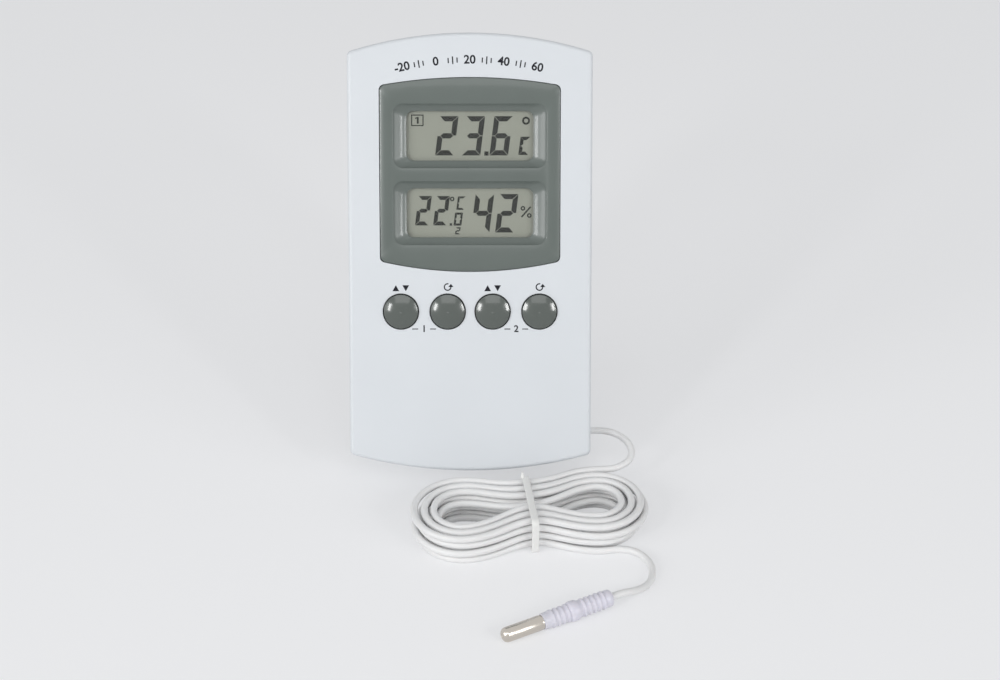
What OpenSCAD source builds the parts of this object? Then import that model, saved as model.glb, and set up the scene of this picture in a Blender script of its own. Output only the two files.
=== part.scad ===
// Digital thermo-hygrometer with a probe on a cord, standing on its fold-out leg.
// Everything of the device is drawn upright, with its face on the plane y = 0, and leaned back as one.

/* [Housing] */
// Width of the housing
body_w = 61; // [58:0.5:72]
// Height of the housing, over both bulges
body_h = 110; // [108:0.5:125]
// Depth of the housing, front to back
body_d = 20; // [20:0.5:24]
// How far the top edge bulges up in the middle
top_rise = 4.7; // [2.5:0.1:5.5]
// How far the bottom edge bulges down in the middle
bottom_rise = 4.2; // [2.5:0.1:5]
// Corner radius, seen from the front
corner_r = 1.5; // [1.5:0.1:3]
// Radius of the rounded rims of both shells
edge_r = 1; // [0.6:0.1:1.4]
// Thickness of the side walls and of the back
wall = 1.8; // [1.6:0.1:2]
// Thickness of the front wall
front_wall = 2; // [1.8:0.1:2.2]
// Depth of the front shell, where the two shells meet
split_y = 10; // [9.6:0.1:11]
// Thickness of the rear shell's tongue
tongue_t = 0.8; // [0.6:0.1:0.9]
// Reach of the tongue into the front shell
tongue_reach = 1; // [0.6:0.1:1.5]

/* [Stance] */
// Angle by which the housing leans back from upright
lean = 25; // [18:1:28]
// Angle between the open leg and the back
leg_open = 35; // [32:1:42]
// Distance of the leg's hinge below the top of the housing
hinge_drop = 64; // [63:0.5:64]
// Width of the leg
leg_w = 30; // [24:0.5:32]
// Thickness of the leg
leg_t = 2.6; // [2.2:0.1:2.8]
// Radius of the leg's pins
pin_r = 1.15; // [1:0.05:1.2]
// How far the folded leg lies below the back
leg_sink = 0.5; // [0.3:0.05:0.6]

/* [Display] */
// Distance of the grey bezel from each side of the housing
bezel_inset = 8; // [6.5:0.25:9.5]
// Distance of the bezel's highest point below the top of the housing
bezel_drop = 11; // [10:0.1:12]
// Height of the bezel, over both bulges
bezel_h = 48.2; // [47:0.1:50]
// Bulge of the bezel's top edge
bezel_top_rise = 2; // [1:0.1:3]
// Bulge of the bezel's bottom edge
bezel_bottom_rise = 2.6; // [1:0.1:3]
// How far the bezel's face lies below the housing's face
bezel_sink = 0.2; // [0.1:0.05:0.4]
// Distance of a window's mouth from each side of the bezel
mouth_inset = 3.35; // [3:0.05:4]
// Mouth of a window, height
mouth_h = 15.9; // [14:0.1:16.5]
// How far a window's side walls slope inwards
slope_w = 3.3; // [2.6:0.05:4]
// How far a window's upper and lower walls slope inwards
slope_h = 1.8; // [1.65:0.05:2.4]
// Distance of the upper window's centre below the top of the housing
window_drop = 25.4; // [25:0.1:26]
// Distance between the two windows
window_pitch = 19.2; // [19.2:0.1:20]
// Depth of the glass below the housing's face
window_depth = 1.8; // [1.4:0.05:1.8]
// Thickness of a window
lens_t = 1; // [0.8:0.05:1]
// Thickness of an LCD
lcd_t = 1.8; // [1.6:0.05:1.8]
// How far an LCD reaches behind the bezel at each side of its glass
lcd_over_w = 2.65; // [2.2:0.05:3]
// How far an LCD reaches behind the bezel above and below its glass
lcd_over_h = 2.45; // [2.1:0.05:2.5]

/* [Buttons] */
// Distance of the row of buttons below the top of the housing
button_drop = 69.3; // [68:0.1:70]
// Distance of the inner buttons from the middle
inner_button_x = 5.65; // [5.6:0.05:5.9]
// Distance of the outer buttons from the middle
outer_button_x = 17.4; // [17:0.1:17.8]
// Radius of a button's cap
button_r = 4.3; // [3.8:0.05:4.4]
// How far a cap stands out of the face
button_proud = 1.3; // [0.8:0.05:1.8]
// Travel of a button
button_travel = 0.6; // [0.4:0.05:0.7]
// Width of a key switch
switch_w = 6; // [5.8:0.1:6.4]

/* [Board] */
// Face of the circuit board, measured from the housing's face
board_y = 6.3; // [6.3:0.05:6.5]
// Thickness of the circuit board
board_t = 1.2; // [1:0.05:1.2]
// Distance of the circuit board's upper edge below the top of the housing
board_drop = 12; // [11.5:0.5:13]
// Height of the circuit board
board_h = 65; // [63:0.5:65]
// Radius of the board screws' shanks
board_screw_r = 0.9; // [0.8:0.05:1]

/* [Battery] */
// Diameter of the cell
cell_d = 10.5; // [10.2:0.1:10.5]
// Length of the cell with its nub
cell_l = 44.5; // [44:0.1:44.5]
// Distance of the cell's axis below the top of the housing
cell_drop = 48.5; // [48:0.1:49]
// How much wider the battery door is than the cell is long
door_over = 7.1; // [6.9:0.1:7.5]
// Height of the battery door
door_h = 16.2; // [16:0.1:16.6]
// Thickness of the battery door
door_t = 1.4; // [1.2:0.05:1.4]

/* [Fixings] */
// Distance of the housing screws from the side walls' inner faces
screw_inset = 2.9; // [2.7:0.1:3.1]
// Height of the lower housing screws
lower_screw_z = 15.5; // [15:0.5:18]
// Distance of the upper housing screws below the top of the housing
upper_screw_drop = 7.4; // [7:0.1:7.6]
// Radius of a housing screw's shank
screw_r = 0.95; // [0.85:0.05:1.05]
// Radius of a housing screw's head
screw_head_r = 1.9; // [1.7:0.05:2]

/* [Hanging] */
// Distance of the keyhole's entry below the top of the housing
keyhole_drop = 14; // [13:0.5:16]
// Radius of the keyhole's entry
keyhole_r = 3.6; // [3:0.1:3.8]
// Width of the keyhole's slot
keyhole_slot = 4; // [3:0.1:4.4]

/* [Cord] */
// Diameter of the cord
cord_d = 1.8; // [1.6:0.05:1.8]
// Height at which the cord leaves the side
cord_z = 8.7; // [8.4:0.1:9.2]
// Layers of the hank
hank_layers = 4; // [2:2:4]
// Turns of the hank in each layer, before the last half turn
hank_turns = 3; // [2:1:3]
// Distance between neighbouring turns at the hank's ends
hank_step = 2.35; // [2.35:0.05:2.6]
// Distance between neighbouring turns at the waist
waist_step = 2.7; // [2.7:0.05:2.9]
// Distance between the layers
layer_step = 2.25; // [2.25:0.05:2.4]
// Half length of the hank's straight runs
run_x = 16.8; // [15:0.1:18]
// Radius of the outer turn's round ends
hank_r = 12.5; // [12.5:0.1:13.5]
// Width of the tie's band
tie_w = 1.8; // [1.2:0.1:2.4]
// Thickness of the tie's band
tie_t = 0.6; // [0.4:0.05:0.6]

/* [Probe] */
// Length of the probe's sleeve
sleeve_l = 18.2; // [15:0.1:22]
// Radius of the probe's sleeve
sleeve_r = 2.1; // [2:0.05:2.4]
// Length of the metal tip that shows
tip_l = 10.4; // [8:0.1:14]
// Radius of the metal tip
tip_r = 1.8; // [1.5:0.05:1.85]

/* [Hidden] */
$fn = 96;

// Clearances
soft_gap = 0.3;
run_gap = 0.05;
seat_gap = 0.1;
over = 0.02;
past = 30;

// Facets of the swept and hulled forms
arc_fn = 180;
hull_fn = 24;
rim_steps = 6;
corner_steps = 5;
bulge_steps = 18;

// Places in the height of the housing, kept from its top
bezel_z = body_h - bezel_drop - bezel_h;
upper_window_z = body_h - window_drop;
lower_window_z = upper_window_z - window_pitch;
button_z = body_h - button_drop;
board_z = body_h - board_drop - board_h;
cell_z = body_h - cell_drop;
hinge_z = body_h - hinge_drop;
keyhole_z = body_h - keyhole_drop;
upper_screw_z = body_h - upper_screw_drop;
vent_drop = 32;
vent_z = body_h - vent_drop;

// Places in the depth of the housing
inner_back = body_d - wall;
lens_back = window_depth + lens_t;
lcd_back = lens_back + lcd_t;
bezel_back = lcd_back - 0.2;
bezel_flange = 1.2;
board_back = board_y + board_t;
inner_w = body_w / 2 - wall;

// Display
bezel_w = body_w - 2 * bezel_inset;
mouth_w = bezel_w - 2 * mouth_inset;
glass_w = mouth_w - 2 * slope_w;
glass_h = mouth_h - 2 * slope_h;
lcd_w = glass_w + 2 * lcd_over_w;
lcd_h = glass_h + 2 * lcd_over_h;
mouth_r = 2.5;
glass_r = 1.1;
bezel_corner_r = 1.3;
lens_w = glass_w + 2.8;
lens_h = glass_h + 2.8;
ledge = 2;
front_glass_t = lcd_t / 2;
zebra_w = 1.6;
zebra_l = lcd_w - 2;

// Buttons
button_xs = [-outer_button_x, -inner_button_x, inner_button_x, outer_button_x];
button_hole_r = button_r + soft_gap;
cap_flange_r = button_r + 0.9;
cap_flange_t = 0.8;
cap_skin = 1;
cap_back = front_wall + cap_flange_t;
dome_r = 12;
rim_r = 0.9;
post_r = 1.8;
plunger_r = 1.7;
plunger_foot_r = 2.1;
plunger_foot_t = 0.6;
switch_y = cap_back + button_travel + 0.5;
switch_lid = 0.4;
switch_floor = 0.3;

// Board and its screws
board_w = 2 * (inner_w - 0.9);
board_screw_x = inner_w - 2.6;
board_screw_zs = [board_z + 3.5, board_z + board_h - 5];
board_boss_r = 2.1;
board_head_r = 1.9;
board_head_t = 1.2;
board_screw_end = 3.2;
capacitor_inset = 4.8;
capacitor_up = 16;
capacitor_r = 1.8;
capacitor_l = 5;
crystal_l = 6;

// Housing screws
screw_x = inner_w - screw_inset;
boss_r = 2.6;
sleeve_boss_r = 3;
screw_head_y = body_d - 4.5;
screw_head_t = 1.4;
screw_end = 4.5;
pilot_end = 3.5;
cross_w = 0.5;
cross_deep = 0.7;
screw_places = [for (x = [-1, 1], z = [lower_screw_z, upper_screw_z]) [x * screw_x, z]];
board_screw_places = [for (x = [-1, 1], z = board_screw_zs) [x * board_screw_x, z]];

// Battery bay
door_w = cell_l + door_over;
cell_y = inner_back - soft_gap + 0.45 - cell_d / 2;
door_gap = 0.3;
door_y = body_d - door_t;
door_ledge = 1;
door_low = cell_z - door_h / 2;
mouth_half_w = door_w / 2 + door_gap;
mouth_half_h = door_h / 2 + door_gap;
bay_half_w = mouth_half_w - door_ledge;
bay_half_h = mouth_half_h - door_ledge;
bay_wall = 1.8;
bay_front = board_back + 0.4;
bay_low = cell_z - bay_half_h - bay_wall;
ledge_y = door_y - 0.2;
contact_t = 0.4;
contact_w = 9;
contact_deep = inner_back - 0.8;
nub_r = 1.75;
nub_l = 1;
cell_end_x = bay_half_w - contact_t - 0.5;

// Parts below the battery bay: they share the height from the board's foot to the bay, 1 mm a unit as drawn
parts_unit = (bay_low - board_z) / 19.3;
pad_r = 1.6;
saddle_x = 12;
saddle_t = 1.5;
tab_x = 15;
tab_w = 5;
tab_t = 0.9;
tab_reach = 1.2;
latch_w = 8;
latch_h = 6;
latch_slot = 0.6;

// Battery spring
spring_wire = 0.5;
spring_turns = 3;
spring_base_r = 3.6;
spring_top_r = 2.4;
spring_rings = 12;
spring_sides = 6;
spring_start_x = -bay_half_w + contact_t + spring_wire / 2;
spring_end_x = cell_end_x - cell_l - spring_wire / 2 - 0.1;

// Stand
hinge_y = body_d - leg_sink - leg_t / 2;
foot_r = leg_t / 2;
stand_drop = (body_d - edge_r) * sin(lean) - edge_r * cos(lean) + edge_r;
hinge_height = hinge_z * cos(lean) - hinge_y * sin(lean) + stand_drop;
leg_l = (hinge_height - foot_r) / cos(leg_open - lean);
leg_foot_w = leg_w - 5;
heel = 2.2;
recess_y = hinge_y - leg_t / 2 - soft_gap;
recess_t = 1.4;
recess_half_w = leg_w / 2 + 0.4;
recess_low = hinge_z - leg_l - foot_r - 0.7;
recess_high = hinge_z + heel + 0.8;
pin_l = 2.2;
ear_t = 3.2;
ear_h = 6;
scoop_r = 4;
scoop_z = recess_low + 8;

// Vents and sensors
vent_w = 20;
vent_h = 1.5;
vent_step = 3;
vent_count = 4;
sensor_z = vent_z + 2;

// The lean's reach in depth, which centres the device on its own footprint
lean_front = edge_r * (cos(lean) + sin(lean) - 1);
lean_back = (body_d - edge_r) * cos(lean) + (body_h - edge_r) * sin(lean) + edge_r;
depth_mid = (lean_front + lean_back) / 2;

// Hank and its tie
cord_r = cord_d / 2;
cord_hole_r = cord_r + 0.15;
run_share = 0.45;
rings_per_turn = 24;
hank_sides = 6;
cord_sides = 8;
hank_centre = [15, -46];
hank_turn = 7;
tie_gap = 0.1;
lift = tie_t + tie_gap;
lift_reach = 10;
waist_r = ((2 * hank_turns - 0.5) * waist_step + cord_d + 0.5) / 2;
hank_end = hank_layers * hank_turns - 0.5;
end_step = cord_d / run_x * run_share / 4;
climb_share = run_share / 2;

// Probe, which rests on its band and on the tip's end
probe_turn = 206;
band_r = sleeve_r + 0.35;
band_at = 9;
band_l = 2.2;
nose_r = tip_r * 0.75;
probe_tilt = atan((band_r - tip_r) / (sleeve_l + tip_l - nose_r - band_at - band_l));
probe_start = [33.6, -75.6, (band_at + band_l) * sin(probe_tilt) + band_r * cos(probe_tilt)];
rib_step = 1.5;
rib_w = 0.7;
rib_h = 0.12;
tip_in = 4;
tip_wall = 0.45;
neck_l = 0.4;
neck_end_r = tip_r - 0.3;
neck_mouth_r = tip_r - 0.1;
bead_r = 1.1;
socket_l = 5;

// Places of the free cord, in millimetres: out of the side and round in a drooping bend
lead_points = [
  [34.6, -19.6, 11.7], [36.6, -20, 11.4], [38.6, -21, 11], [40.2, -22.6, 10.5], [41.1, -24.6, 9.9],
  [41.2, -26.7, 9.3], [40.3, -28.6, 8.7], [38.5, -30, 8.2], [36.1, -30.8, 7.8]
];
// Along the table from the hank, round in a wide bend and up into the sleeve
tail_points = [
  [36.4, -55, 0.9], [39, -55.3, 0.9], [41.3, -56.5, 0.9], [43, -58.5, 0.9], [44, -61, 0.9], [44.3, -63.6, 0.9],
  [43.9, -66.2, 0.9], [42.8, -68.6, 1], [41.2, -70.7, 1.5], [39.3, -72.4, 2.2], [37.4, -73.7, 2.8]
];

// Placing

// Leans the upright device back, stands it on z = 0 and centres it
module device() {
  translate([0, -depth_mid, stand_drop]) rotate([-lean, 0, 0]) children();
}

// A flat shape drawn in x and z, given depth from y0 to y1
module along_y(y0, y1) {
  translate([0, y1, 0]) rotate([90, 0, 0]) linear_extrude(height = y1 - y0) children();
}

// A round bar along y
module rod_y(r, y0, y1) {
  translate([0, y1, 0]) rotate([90, 0, 0]) cylinder(r = r, h = y1 - y0);
}

// A round bar along x
module rod_x(r, x0, x1) {
  translate([x0, 0, 0]) rotate([0, 90, 0]) cylinder(r = r, h = x1 - x0);
}

// A block between two corners
module block(low, high) {
  translate(low) cube(high - low);
}

// A shape turned about a line along y, its profile drawn as radius and y
module turned_y() {
  rotate([-90, 0, 0]) rotate_extrude() children();
}

// A rectangle with round corners, centred
module round_rect(w, h, r, fn = 48) {
  square([w - 2 * r, h], center = true);
  square([w, h - 2 * r], center = true);
  for (x = [-1, 1], z = [-1, 1])
    translate([x * (w / 2 - r), z * (h / 2 - r)]) circle(r = r, $fn = fn);
}

// Points along an arc, from the angle a0 to a1
function arc_points(cx, cz, r, a0, a1, n) =
  [for (i = [0:n]) let (a = a0 + (a1 - a0) * i / n) [cx + r * cos(a), cz + r * sin(a)]];

// The same points without the two ends
function inner_points(points) = [for (i = [1:len(points) - 2]) points[i]];

// An outline with a bulged top and bottom and its lowest point at 0, drawn inwards by inset
function bulged(w, h, top, bottom, corner, inset = 0) =
  let (
    half = w / 2, r = corner - inset, cx = half - corner,
    top_r = (half * half + top * top) / (2 * top),
    bottom_r = (half * half + bottom * bottom) / (2 * bottom),
    top_reach = sqrt((top_r - corner) * (top_r - corner) - cx * cx),
    bottom_reach = sqrt((bottom_r - corner) * (bottom_r - corner) - cx * cx),
    top_a = atan2(top_reach, cx), bottom_a = atan2(bottom_reach, cx),
    top_z = h - top_r + top_reach, bottom_z = bottom_r - bottom_reach
  )
  concat(
    arc_points(cx, top_z, r, 0, top_a, corner_steps),
    inner_points(arc_points(0, h - top_r, top_r - inset, top_a, 180 - top_a, bulge_steps)),
    arc_points(-cx, top_z, r, 180 - top_a, 180, corner_steps),
    arc_points(-cx, bottom_z, r, 180, 180 + bottom_a, corner_steps),
    inner_points(arc_points(0, bottom_r, bottom_r - inset, 180 + bottom_a, 360 - bottom_a, bulge_steps)),
    arc_points(cx, bottom_z, r, 360 - bottom_a, 360, corner_steps)
  );

function outline_points(inset) = bulged(body_w, body_h, top_rise, bottom_rise, corner_r, inset);

// The housing's outline, drawn inwards; past the corner radius it keeps a small round corner
module outline(inset = 0) {
  kept = min(inset, corner_r - 0.3);
  deeper = inset - kept;
  translate([0, deeper])
    polygon(bulged(body_w - 2 * deeper, body_h - 2 * deeper, top_rise, bottom_rise, corner_r, kept));
}

module bezel_outline(grow = 0) {
  translate([0, bezel_z])
    polygon(bulged(bezel_w, bezel_h, bezel_top_rise, bezel_bottom_rise, bezel_corner_r, -grow));
}

// The solid form of one shell, from its flat meeting plane at y0 to a rounded rim at y1
module shell_form(y0, y1) {
  away = sign(y1 - y0);
  insets = concat([0], [for (k = [0:rim_steps]) edge_r * (1 - cos(90 * k / rim_steps))]);
  ys = concat([y0], [for (k = [0:rim_steps]) y1 - away * edge_r * (1 - sin(90 * k / rim_steps))]);
  rings = [for (k = [0:rim_steps + 1]) each [for (p = outline_points(insets[k])) [p[0], ys[k], p[1]]]];
  count = len(rings) / (rim_steps + 2);
  faces = concat(
    [[for (k = [0:count - 1]) k]],
    [for (i = [0:rim_steps], k = [0:count - 1])
      let (a = i * count + k, b = i * count + (k + 1) % count)
      each [[a, a + count, b], [b, a + count, b + count]]],
    [[for (k = [0:count - 1]) (rim_steps + 2) * count - 1 - k]]
  );
  polyhedron(points = rings, faces = away > 0 ? [for (f = faces) [for (i = [len(f) - 1:-1:0]) f[i]]] : faces);
}

// Front shell

module front_housing() {
  color([0.83, 0.85, 0.87]) device() difference() {
    union() {
      difference() {
        shell_form(split_y, 0);
        along_y(front_wall, split_y + 1) outline(wall);
      }
      for (p = screw_places)
        translate([p[0], 0, p[1]]) rod_y(boss_r, front_wall - over, split_y);
      for (p = board_screw_places)
        translate([p[0], 0, p[1]]) rod_y(board_boss_r, front_wall - over, board_y);
    }
    difference() {
      along_y(split_y - tongue_reach - seat_gap, split_y + 1) outline(wall - tongue_t - seat_gap);
      along_y(split_y - tongue_reach - 1, split_y + 2) outline(wall + over);
    }
    along_y(-1, front_wall + 1) bezel_outline(seat_gap);
    for (x = button_xs)
      translate([x, 0, button_z]) rod_y(button_hole_r, -1, front_wall + 1);
    for (p = screw_places)
      translate([p[0], 0, p[1]]) rod_y(screw_r + run_gap, pilot_end, split_y + 1);
    for (p = board_screw_places)
      translate([p[0], 0, p[1]]) rod_y(board_screw_r + run_gap, board_screw_end - 0.4, board_y + 1);
    cord_hole();
  }
}

// The round hole for the cord, half in each shell
module cord_hole() {
  translate([0, split_y, cord_z]) rod_x(cord_hole_r, inner_w - 3, body_w / 2 + 1);
}

// Display

// The cut of one window through the bezel: sloped mouth, seat of the window, seat of the LCD
module window_cut() {
  hull() {
    along_y(bezel_sink - over, bezel_sink) round_rect(mouth_w, mouth_h, mouth_r, hull_fn);
    along_y(window_depth, window_depth + over) round_rect(glass_w, glass_h, glass_r, hull_fn);
  }
  along_y(window_depth, lens_back + over) round_rect(lens_w + 2 * seat_gap, lens_h + 2 * seat_gap, 0.6);
  along_y(lens_back, lens_back + past) square([lcd_w + 2 * seat_gap, lcd_h + 2 * seat_gap], center = true);
}

module display_bezel() {
  color([0.36, 0.40, 0.39]) device() difference() {
    union() {
      along_y(bezel_sink, front_wall + over) bezel_outline();
      along_y(front_wall, bezel_back) bezel_outline(bezel_flange);
    }
    for (z = [lower_window_z, upper_window_z])
      translate([0, 0, z]) window_cut();
  }
}

module window(z) {
  color([0.8, 0.84, 0.82, 0.3]) device() translate([0, 0, z])
    along_y(window_depth, lens_back) round_rect(lens_w, lens_h, 0.5);
}

// An LCD, whose front glass is taller by a ledge for its contacts; up is 1 or -1, the ledge's side
module lcd(z, up) {
  color([0.62, 0.62, 0.58]) device() translate([0, 0, z]) {
    along_y(lens_back, lens_back + front_glass_t) square([lcd_w, lcd_h], center = true);
    along_y(lens_back + front_glass_t - over, lcd_back)
      translate([0, -up * ledge / 2]) square([lcd_w, lcd_h - ledge], center = true);
  }
}

// The contact strip between an LCD's ledge and the board
module zebra_strip(z, up) {
  color([0.85, 0.45, 0.55]) device()
    translate([0, 0, z + up * (lcd_h - ledge) / 2])
      along_y(lens_back + front_glass_t, board_y) square([zebra_l, zebra_w], center = true);
}

// Board

module circuit_board() {
  color([0.12, 0.36, 0.2]) device() difference() {
    along_y(board_y, board_back) translate([-board_w / 2, board_z]) square([board_w, board_h]);
    for (p = board_screw_places)
      translate([p[0], 0, p[1]]) rod_y(board_screw_r + 0.2, board_y - 1, board_back + 1);
  }
}

// A cross-headed screw from its tip at y0 to its head, which stands on y1
module screw(shank_r, head_r, head_t, y0, y1) {
  difference() {
    union() {
      rod_y(shank_r, y0, y1 + over);
      rod_y(head_r, y1, y1 + head_t);
    }
    for (a = [0, 90])
      rotate([0, a, 0])
        block([-head_r * 0.6, y1 + head_t - cross_deep, -cross_w / 2], [head_r * 0.6, y1 + head_t + 1, cross_w / 2]);
  }
}

module board_screws() {
  color([0.7, 0.7, 0.72]) device()
    for (p = board_screw_places)
      translate([p[0], 0, p[1]]) screw(board_screw_r, board_head_r, board_head_t, board_screw_end, board_back);
}

// Four square switches, each hollow for its plunger
module key_switches() {
  color([0.75, 0.76, 0.78]) device()
    for (x = button_xs)
      translate([x, 0, button_z]) difference() {
        along_y(switch_y, board_y) round_rect(switch_w, switch_w, 0.5);
        rod_y(plunger_r + run_gap, switch_y - 1, board_y - switch_floor);
        rod_y(plunger_foot_r + soft_gap / 2, switch_y + switch_lid, board_y - switch_floor);
      }
}

// The stem that a button pushes, kept in its switch by its foot
module plunger(x) {
  color([0.1, 0.1, 0.1]) device() translate([x, 0, button_z]) {
    rod_y(plunger_r, cap_back, switch_y + switch_lid + 0.1 + plunger_foot_t);
    rod_y(plunger_foot_r, switch_y + switch_lid + 0.1, switch_y + switch_lid + 0.1 + plunger_foot_t);
  }
}

// Half section of a cap, as radius and height above its back
module cap_profile() {
  top = cap_back + button_proud;
  difference() {
    union() {
      intersection() {
        union() {
          square([button_r - rim_r, top]);
          square([button_r, top - rim_r - 0.25]);
          translate([button_r - rim_r, top - rim_r - 0.25]) circle(r = rim_r);
        }
        translate([0, top - dome_r]) circle(r = dome_r, $fn = arc_fn);
        square([past, past]);
      }
      square([cap_flange_r, cap_flange_t]);
    }
    translate([post_r, -1]) square([button_r - cap_skin - post_r, top - cap_skin - 0.2]);
  }
}

module button(x) {
  color([0.37, 0.4, 0.38]) device() translate([x, cap_back, button_z])
    rotate([90, 0, 0]) rotate_extrude() cap_profile();
}

module chip_blob() {
  blob_r = 6.5 * parts_unit;
  blob_h = 1.6;
  ball_r = (blob_r * blob_r + blob_h * blob_h) / (2 * blob_h);
  color([0.06, 0.06, 0.06]) device() translate([0, board_back, board_z + 10 * parts_unit])
    turned_y() intersection() {
      translate([0, blob_h - ball_r]) circle(r = ball_r, $fn = arc_fn);
      square([blob_r, blob_h + 1]);
    }
}

module timing_crystal() {
  color([0.8, 0.8, 0.82]) device() translate([11, board_back + 1, board_z + 9 * parts_unit]) {
    cylinder(r = 1, h = crystal_l);
    block([-0.7, -1, -1.6], [-0.4, 0.3, 0.1]);
    block([0.4, -1, -1.6], [0.7, 0.3, 0.1]);
  }
}

// Small resistors and capacitors soldered to the board's back
module board_parts() {
  part_w = 2;
  part_h = 1.25;
  part_t = 0.8;
  rows = [[-19, 3], [-14, 3], [-9.5, 3], [-19, 7], [-14, 7], [9, 3], [-19, 11], [-12, 12]];
  color([0.5, 0.42, 0.3]) device()
    for (p = rows)
      translate([p[0], board_back, board_z + p[1] * parts_unit])
        block([-part_w / 2, 0, 0], [part_w / 2, part_t, part_h]);
  color([0.75, 0.55, 0.3]) device()
    for (side = [-1, 1])
      translate([side * (board_w / 2 - capacitor_inset), board_back, board_z + capacitor_up * parts_unit])
        rod_y(capacitor_r, 0, capacitor_l);
}

// A slotted plastic box over the sensing film
module humidity_sensor() {
  box_w = 10;
  box_h = 7.5;
  box_t = 4;
  color([0.85, 0.87, 0.88]) device() translate([0, board_back, sensor_z]) difference() {
    along_y(0, box_t) translate([-box_w / 2, 0]) square([box_w, box_h]);
    for (k = [0:4])
      block([-box_w / 2 + 1, box_t - 1.2, 0.9 + k * 1.25], [box_w / 2 - 1, box_t + 1, 1.6 + k * 1.25]);
  }
}

// A bead on two legs beside the vents
module room_thermistor() {
  leg_y = 6;
  color([0.1, 0.12, 0.1]) device() translate([12, board_back, sensor_z + 3]) {
    for (x = [-1, 1])
      translate([x * 0.8, 0, 0]) rod_y(0.25, 0, leg_y);
    translate([0, leg_y, 0]) sphere(r = 1.3);
  }
}

// Rear shell

// Walls of the battery bay, open towards the board
module bay_walls() {
  low = [-bay_half_w - bay_wall, bay_front, bay_low];
  high = [bay_half_w + bay_wall, ledge_y, cell_z + bay_half_h + bay_wall];
  difference() {
    block(low, high);
    block([-bay_half_w, bay_front - 1, cell_z - bay_half_h], [bay_half_w, ledge_y + 1, cell_z + bay_half_h]);
  }
  difference() {
    for (x = [-saddle_x, saddle_x])
      block(
        [x - saddle_t / 2, bay_front, cell_z - bay_half_h - over],
        [x + saddle_t / 2, cell_y, cell_z + bay_half_h + over]
      );
    translate([0, cell_y, cell_z]) rod_x(cell_d / 2 + seat_gap, -saddle_x - saddle_t, saddle_x + saddle_t);
  }
}

// The stand's recess seen from inside: floor, side walls and the ears that hold the pins
module recess_form() {
  block(
    [-recess_half_w - recess_t, recess_y - recess_t, recess_low - recess_t + 0.4],
    [recess_half_w + recess_t, inner_back + over, recess_high + recess_t]
  );
  for (side = [-1, 1])
    block(
      [side > 0 ? recess_half_w : -recess_half_w - ear_t, recess_y - recess_t, hinge_z - ear_h / 2],
      [side > 0 ? recess_half_w + ear_t : -recess_half_w, inner_back + over, hinge_z + ear_h / 2]
    );
  translate([recess_half_w, 0, scoop_z]) rod_y(scoop_r + 1.1, recess_y - 0.6, inner_back + over);
}

module keyhole() {
  slot_top = keyhole_z + keyhole_r + 2;
  translate([0, 0, keyhole_z]) rod_y(keyhole_r, inner_back - 1, body_d + 1);
  translate([0, 0, slot_top]) rod_y(keyhole_slot / 2, inner_back - 1, body_d + 1);
  block([-keyhole_slot / 2, inner_back - 1, keyhole_z], [keyhole_slot / 2, body_d + 1, slot_top]);
}

module rear_housing() {
  color([0.83, 0.85, 0.87]) device() difference() {
    union() {
      difference() {
        shell_form(split_y, body_d);
        along_y(split_y - 1, inner_back) outline(wall);
      }
      difference() {
        along_y(split_y - tongue_reach, split_y + 1) outline(wall - tongue_t);
        along_y(split_y - 2, split_y + 2) outline(wall);
      }
      for (p = screw_places)
        translate([p[0], 0, p[1]]) rod_y(sleeve_boss_r, split_y, inner_back + over);
      bay_walls();
      intersection() {
        recess_form();
        along_y(0, body_d - wall / 2) outline(wall / 2);
      }
    }
    block([-recess_half_w, recess_y, recess_low], [recess_half_w, body_d + 1, recess_high]);
    translate([recess_half_w, 0, scoop_z]) rod_y(scoop_r, recess_y + 0.4, body_d + 1);
    for (side = [-1, 1])
      translate([0, hinge_y, hinge_z])
        rod_x(pin_r + run_gap, side > 0 ? recess_half_w - 1 : -recess_half_w - pin_l, side > 0 ? recess_half_w + pin_l : 1 - recess_half_w);
    block([-mouth_half_w, ledge_y, cell_z - mouth_half_h], [mouth_half_w, body_d + 1, cell_z + mouth_half_h]);
    block([-bay_half_w, inner_back - 1, cell_z - bay_half_h], [bay_half_w, body_d, cell_z + bay_half_h]);
    for (side = [-1, 1])
      translate([side * tab_x, 0, door_low])
        block([-tab_w / 2 - 0.5, ledge_y - 3, -tab_reach - 0.5], [tab_w / 2 + 0.5, ledge_y + over, 2]);
    for (p = screw_places)
      translate([p[0], 0, p[1]]) {
        rod_y(screw_r + soft_gap, split_y - 1, body_d);
        rod_y(screw_head_r + soft_gap, screw_head_y, body_d + 1);
      }
    keyhole();
    for (k = [0:vent_count - 1])
      translate([0, 0, vent_z + k * vent_step])
        along_y(inner_back - 1, body_d + 1) round_rect(vent_w, vent_h, vent_h / 2 - 0.01);
    cord_hole();
  }
}

module housing_screws() {
  color([0.7, 0.7, 0.72]) device()
    for (p = screw_places)
      translate([p[0], 0, p[1]]) screw(screw_r, screw_head_r, screw_head_t, screw_end, screw_head_y);
}

// Battery

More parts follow.
